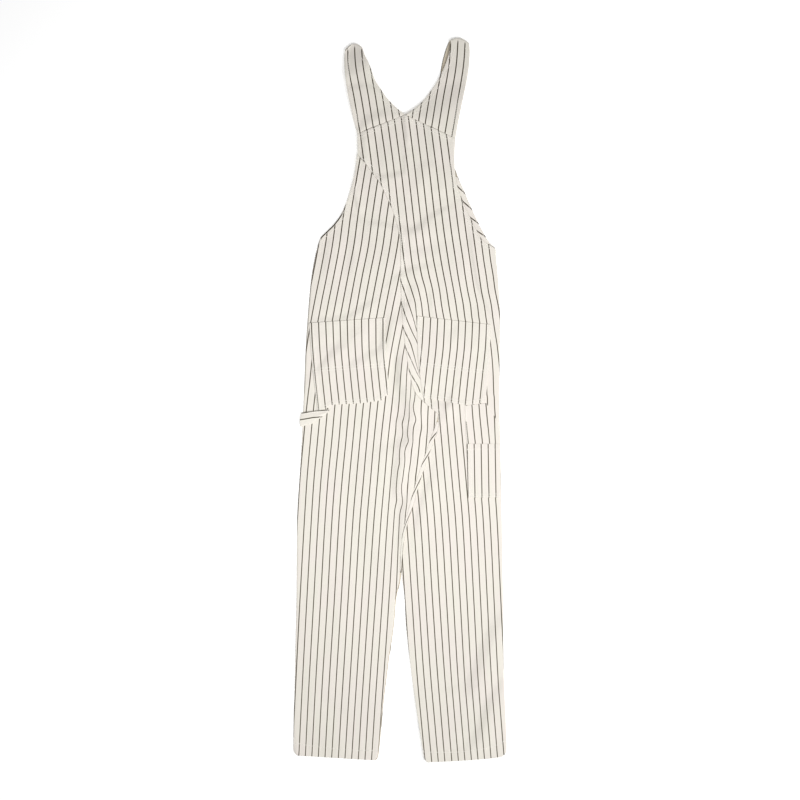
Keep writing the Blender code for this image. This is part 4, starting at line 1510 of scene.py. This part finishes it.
def neck_bar():
    """Back-stitches that hold the straps together under the neck point."""
    lines = []
    for aside in NECK_BAR_COLUMNS:
        y = np.linspace(NECK_POINT[1] - NECK_BAR_TOP, NECK_POINT[1] - NECK_BAR_FOOT, NECK_BAR_POINTS)
        x = np.full(NECK_BAR_POINTS, NECK_POINT[0] + aside)
        z = back_height("right", x, y) + HALF + NECK_BAR_RISE
        lines.append(np.stack((x, y, z), axis=1))
    return lines


# ---- the garment


def build_garment():
    """All the pieces, in the places of their solids, with their stitches."""
    made = [back_panel_left(), back_panel_right(), inseam_turn(), front_leg("left"), front_leg("right"),
            front_bib(), armhole_facing(), strap("left"), strap("right"),
            patch("seat_pocket_left", MOUTH_ROWS), patch("seat_pocket_right", MOUTH_ROWS),
            patch("tool_pocket_base", plain_box=TOOL_BASE_CORNER), patch("tool_pocket"),
            patch("hammer_loop")]
    stitches("stitches_backs", stitch_rows("back_panel") + neck_bar())
    stitches("stitches_straps", stitch_rows("strap", "armhole"))
    stitches("stitches_patches", stitch_rows("seat", "tool", "hammer"))
    for side in ("left", "right"):
        button = frame["nodes"]["strap_button_" + side]
        button.material_slots[0].material = MATERIALS["button"]


# ---- the studio


def area_lamp(name, place, size, power):
    """A square lamp that faces the middle of the garment."""
    lamp = bpy.data.lights.new(name, "AREA")
    lamp.energy = power
    lamp.size = size
    made = new_object(name, lamp, place)
    made.rotation_euler = (-Vector(place)).to_track_quat("-Z", "Y").to_euler()
    made.visible_camera = False


def floor():
    """The white ground, just beneath the cloth."""
    corners = [(x * FLOOR_HALF, y * FLOOR_HALF, FLOOR_Z) for x, y in ((-1, -1), (1, -1), (1, 1), (-1, 1))]
    new_object("floor", new_mesh("floor", corners, [(0, 1, 2, 3)], "floor"))


def world(strength):
    """Even white light from all round."""
    made = bpy.data.worlds.new("studio")
    made.use_nodes = True
    background = made.node_tree.nodes["Background"]
    background.inputs[0].default_value = WHITE
    background.inputs[1].default_value = strength
    bpy.context.scene.world = made


def camera_above():
    """A long lens that looks straight down."""
    lens = bpy.data.cameras.new("camera")
    lens.sensor_width = SENSOR
    lens.lens = SENSOR * CAMERA_HEIGHT / VIEW_WIDTH
    lens.clip_end = 100.0
    bpy.context.scene.camera = new_object("camera", lens, (0.0, 0.0, CAMERA_HEIGHT))


MATERIALS = {
    "outside": cotton(
        "cotton_striped",
        cream=(0.80, 0.772, 0.69, 1.0),
        warm_cream=(0.808, 0.75, 0.70, 1.0),
        stripe_colour=(0.034, 0.024, 0.008, 1.0),
        lower_stripe=(0.068, 0.055, 0.034, 1.0),
        stripe_strength=1.0,
    ),
    # The inside is darker and yellower than the outside: partly the cloth's wrong side, partly painted shade
    # of the strap's folded-under half
    "inside": cotton(
        "cotton_inside",
        cream=(0.60, 0.54, 0.43, 1.0),
        warm_cream=(0.59, 0.52, 0.415, 1.0),
        stripe_colour=(0.11, 0.09, 0.06, 1.0),
        lower_stripe=(0.22, 0.19, 0.14, 1.0),
        stripe_strength=0.55,
    ),
    "thread": sewing_thread(),
    "button": button_brown(),
    "floor": floor_white(),
}
SURFACES = {}
build_garment()
floor()
for lamp in LAMPS:
    area_lamp(*lamp)
world(SKY)
camera_above()
bpy.context.scene.view_settings.view_transform = "Standard"
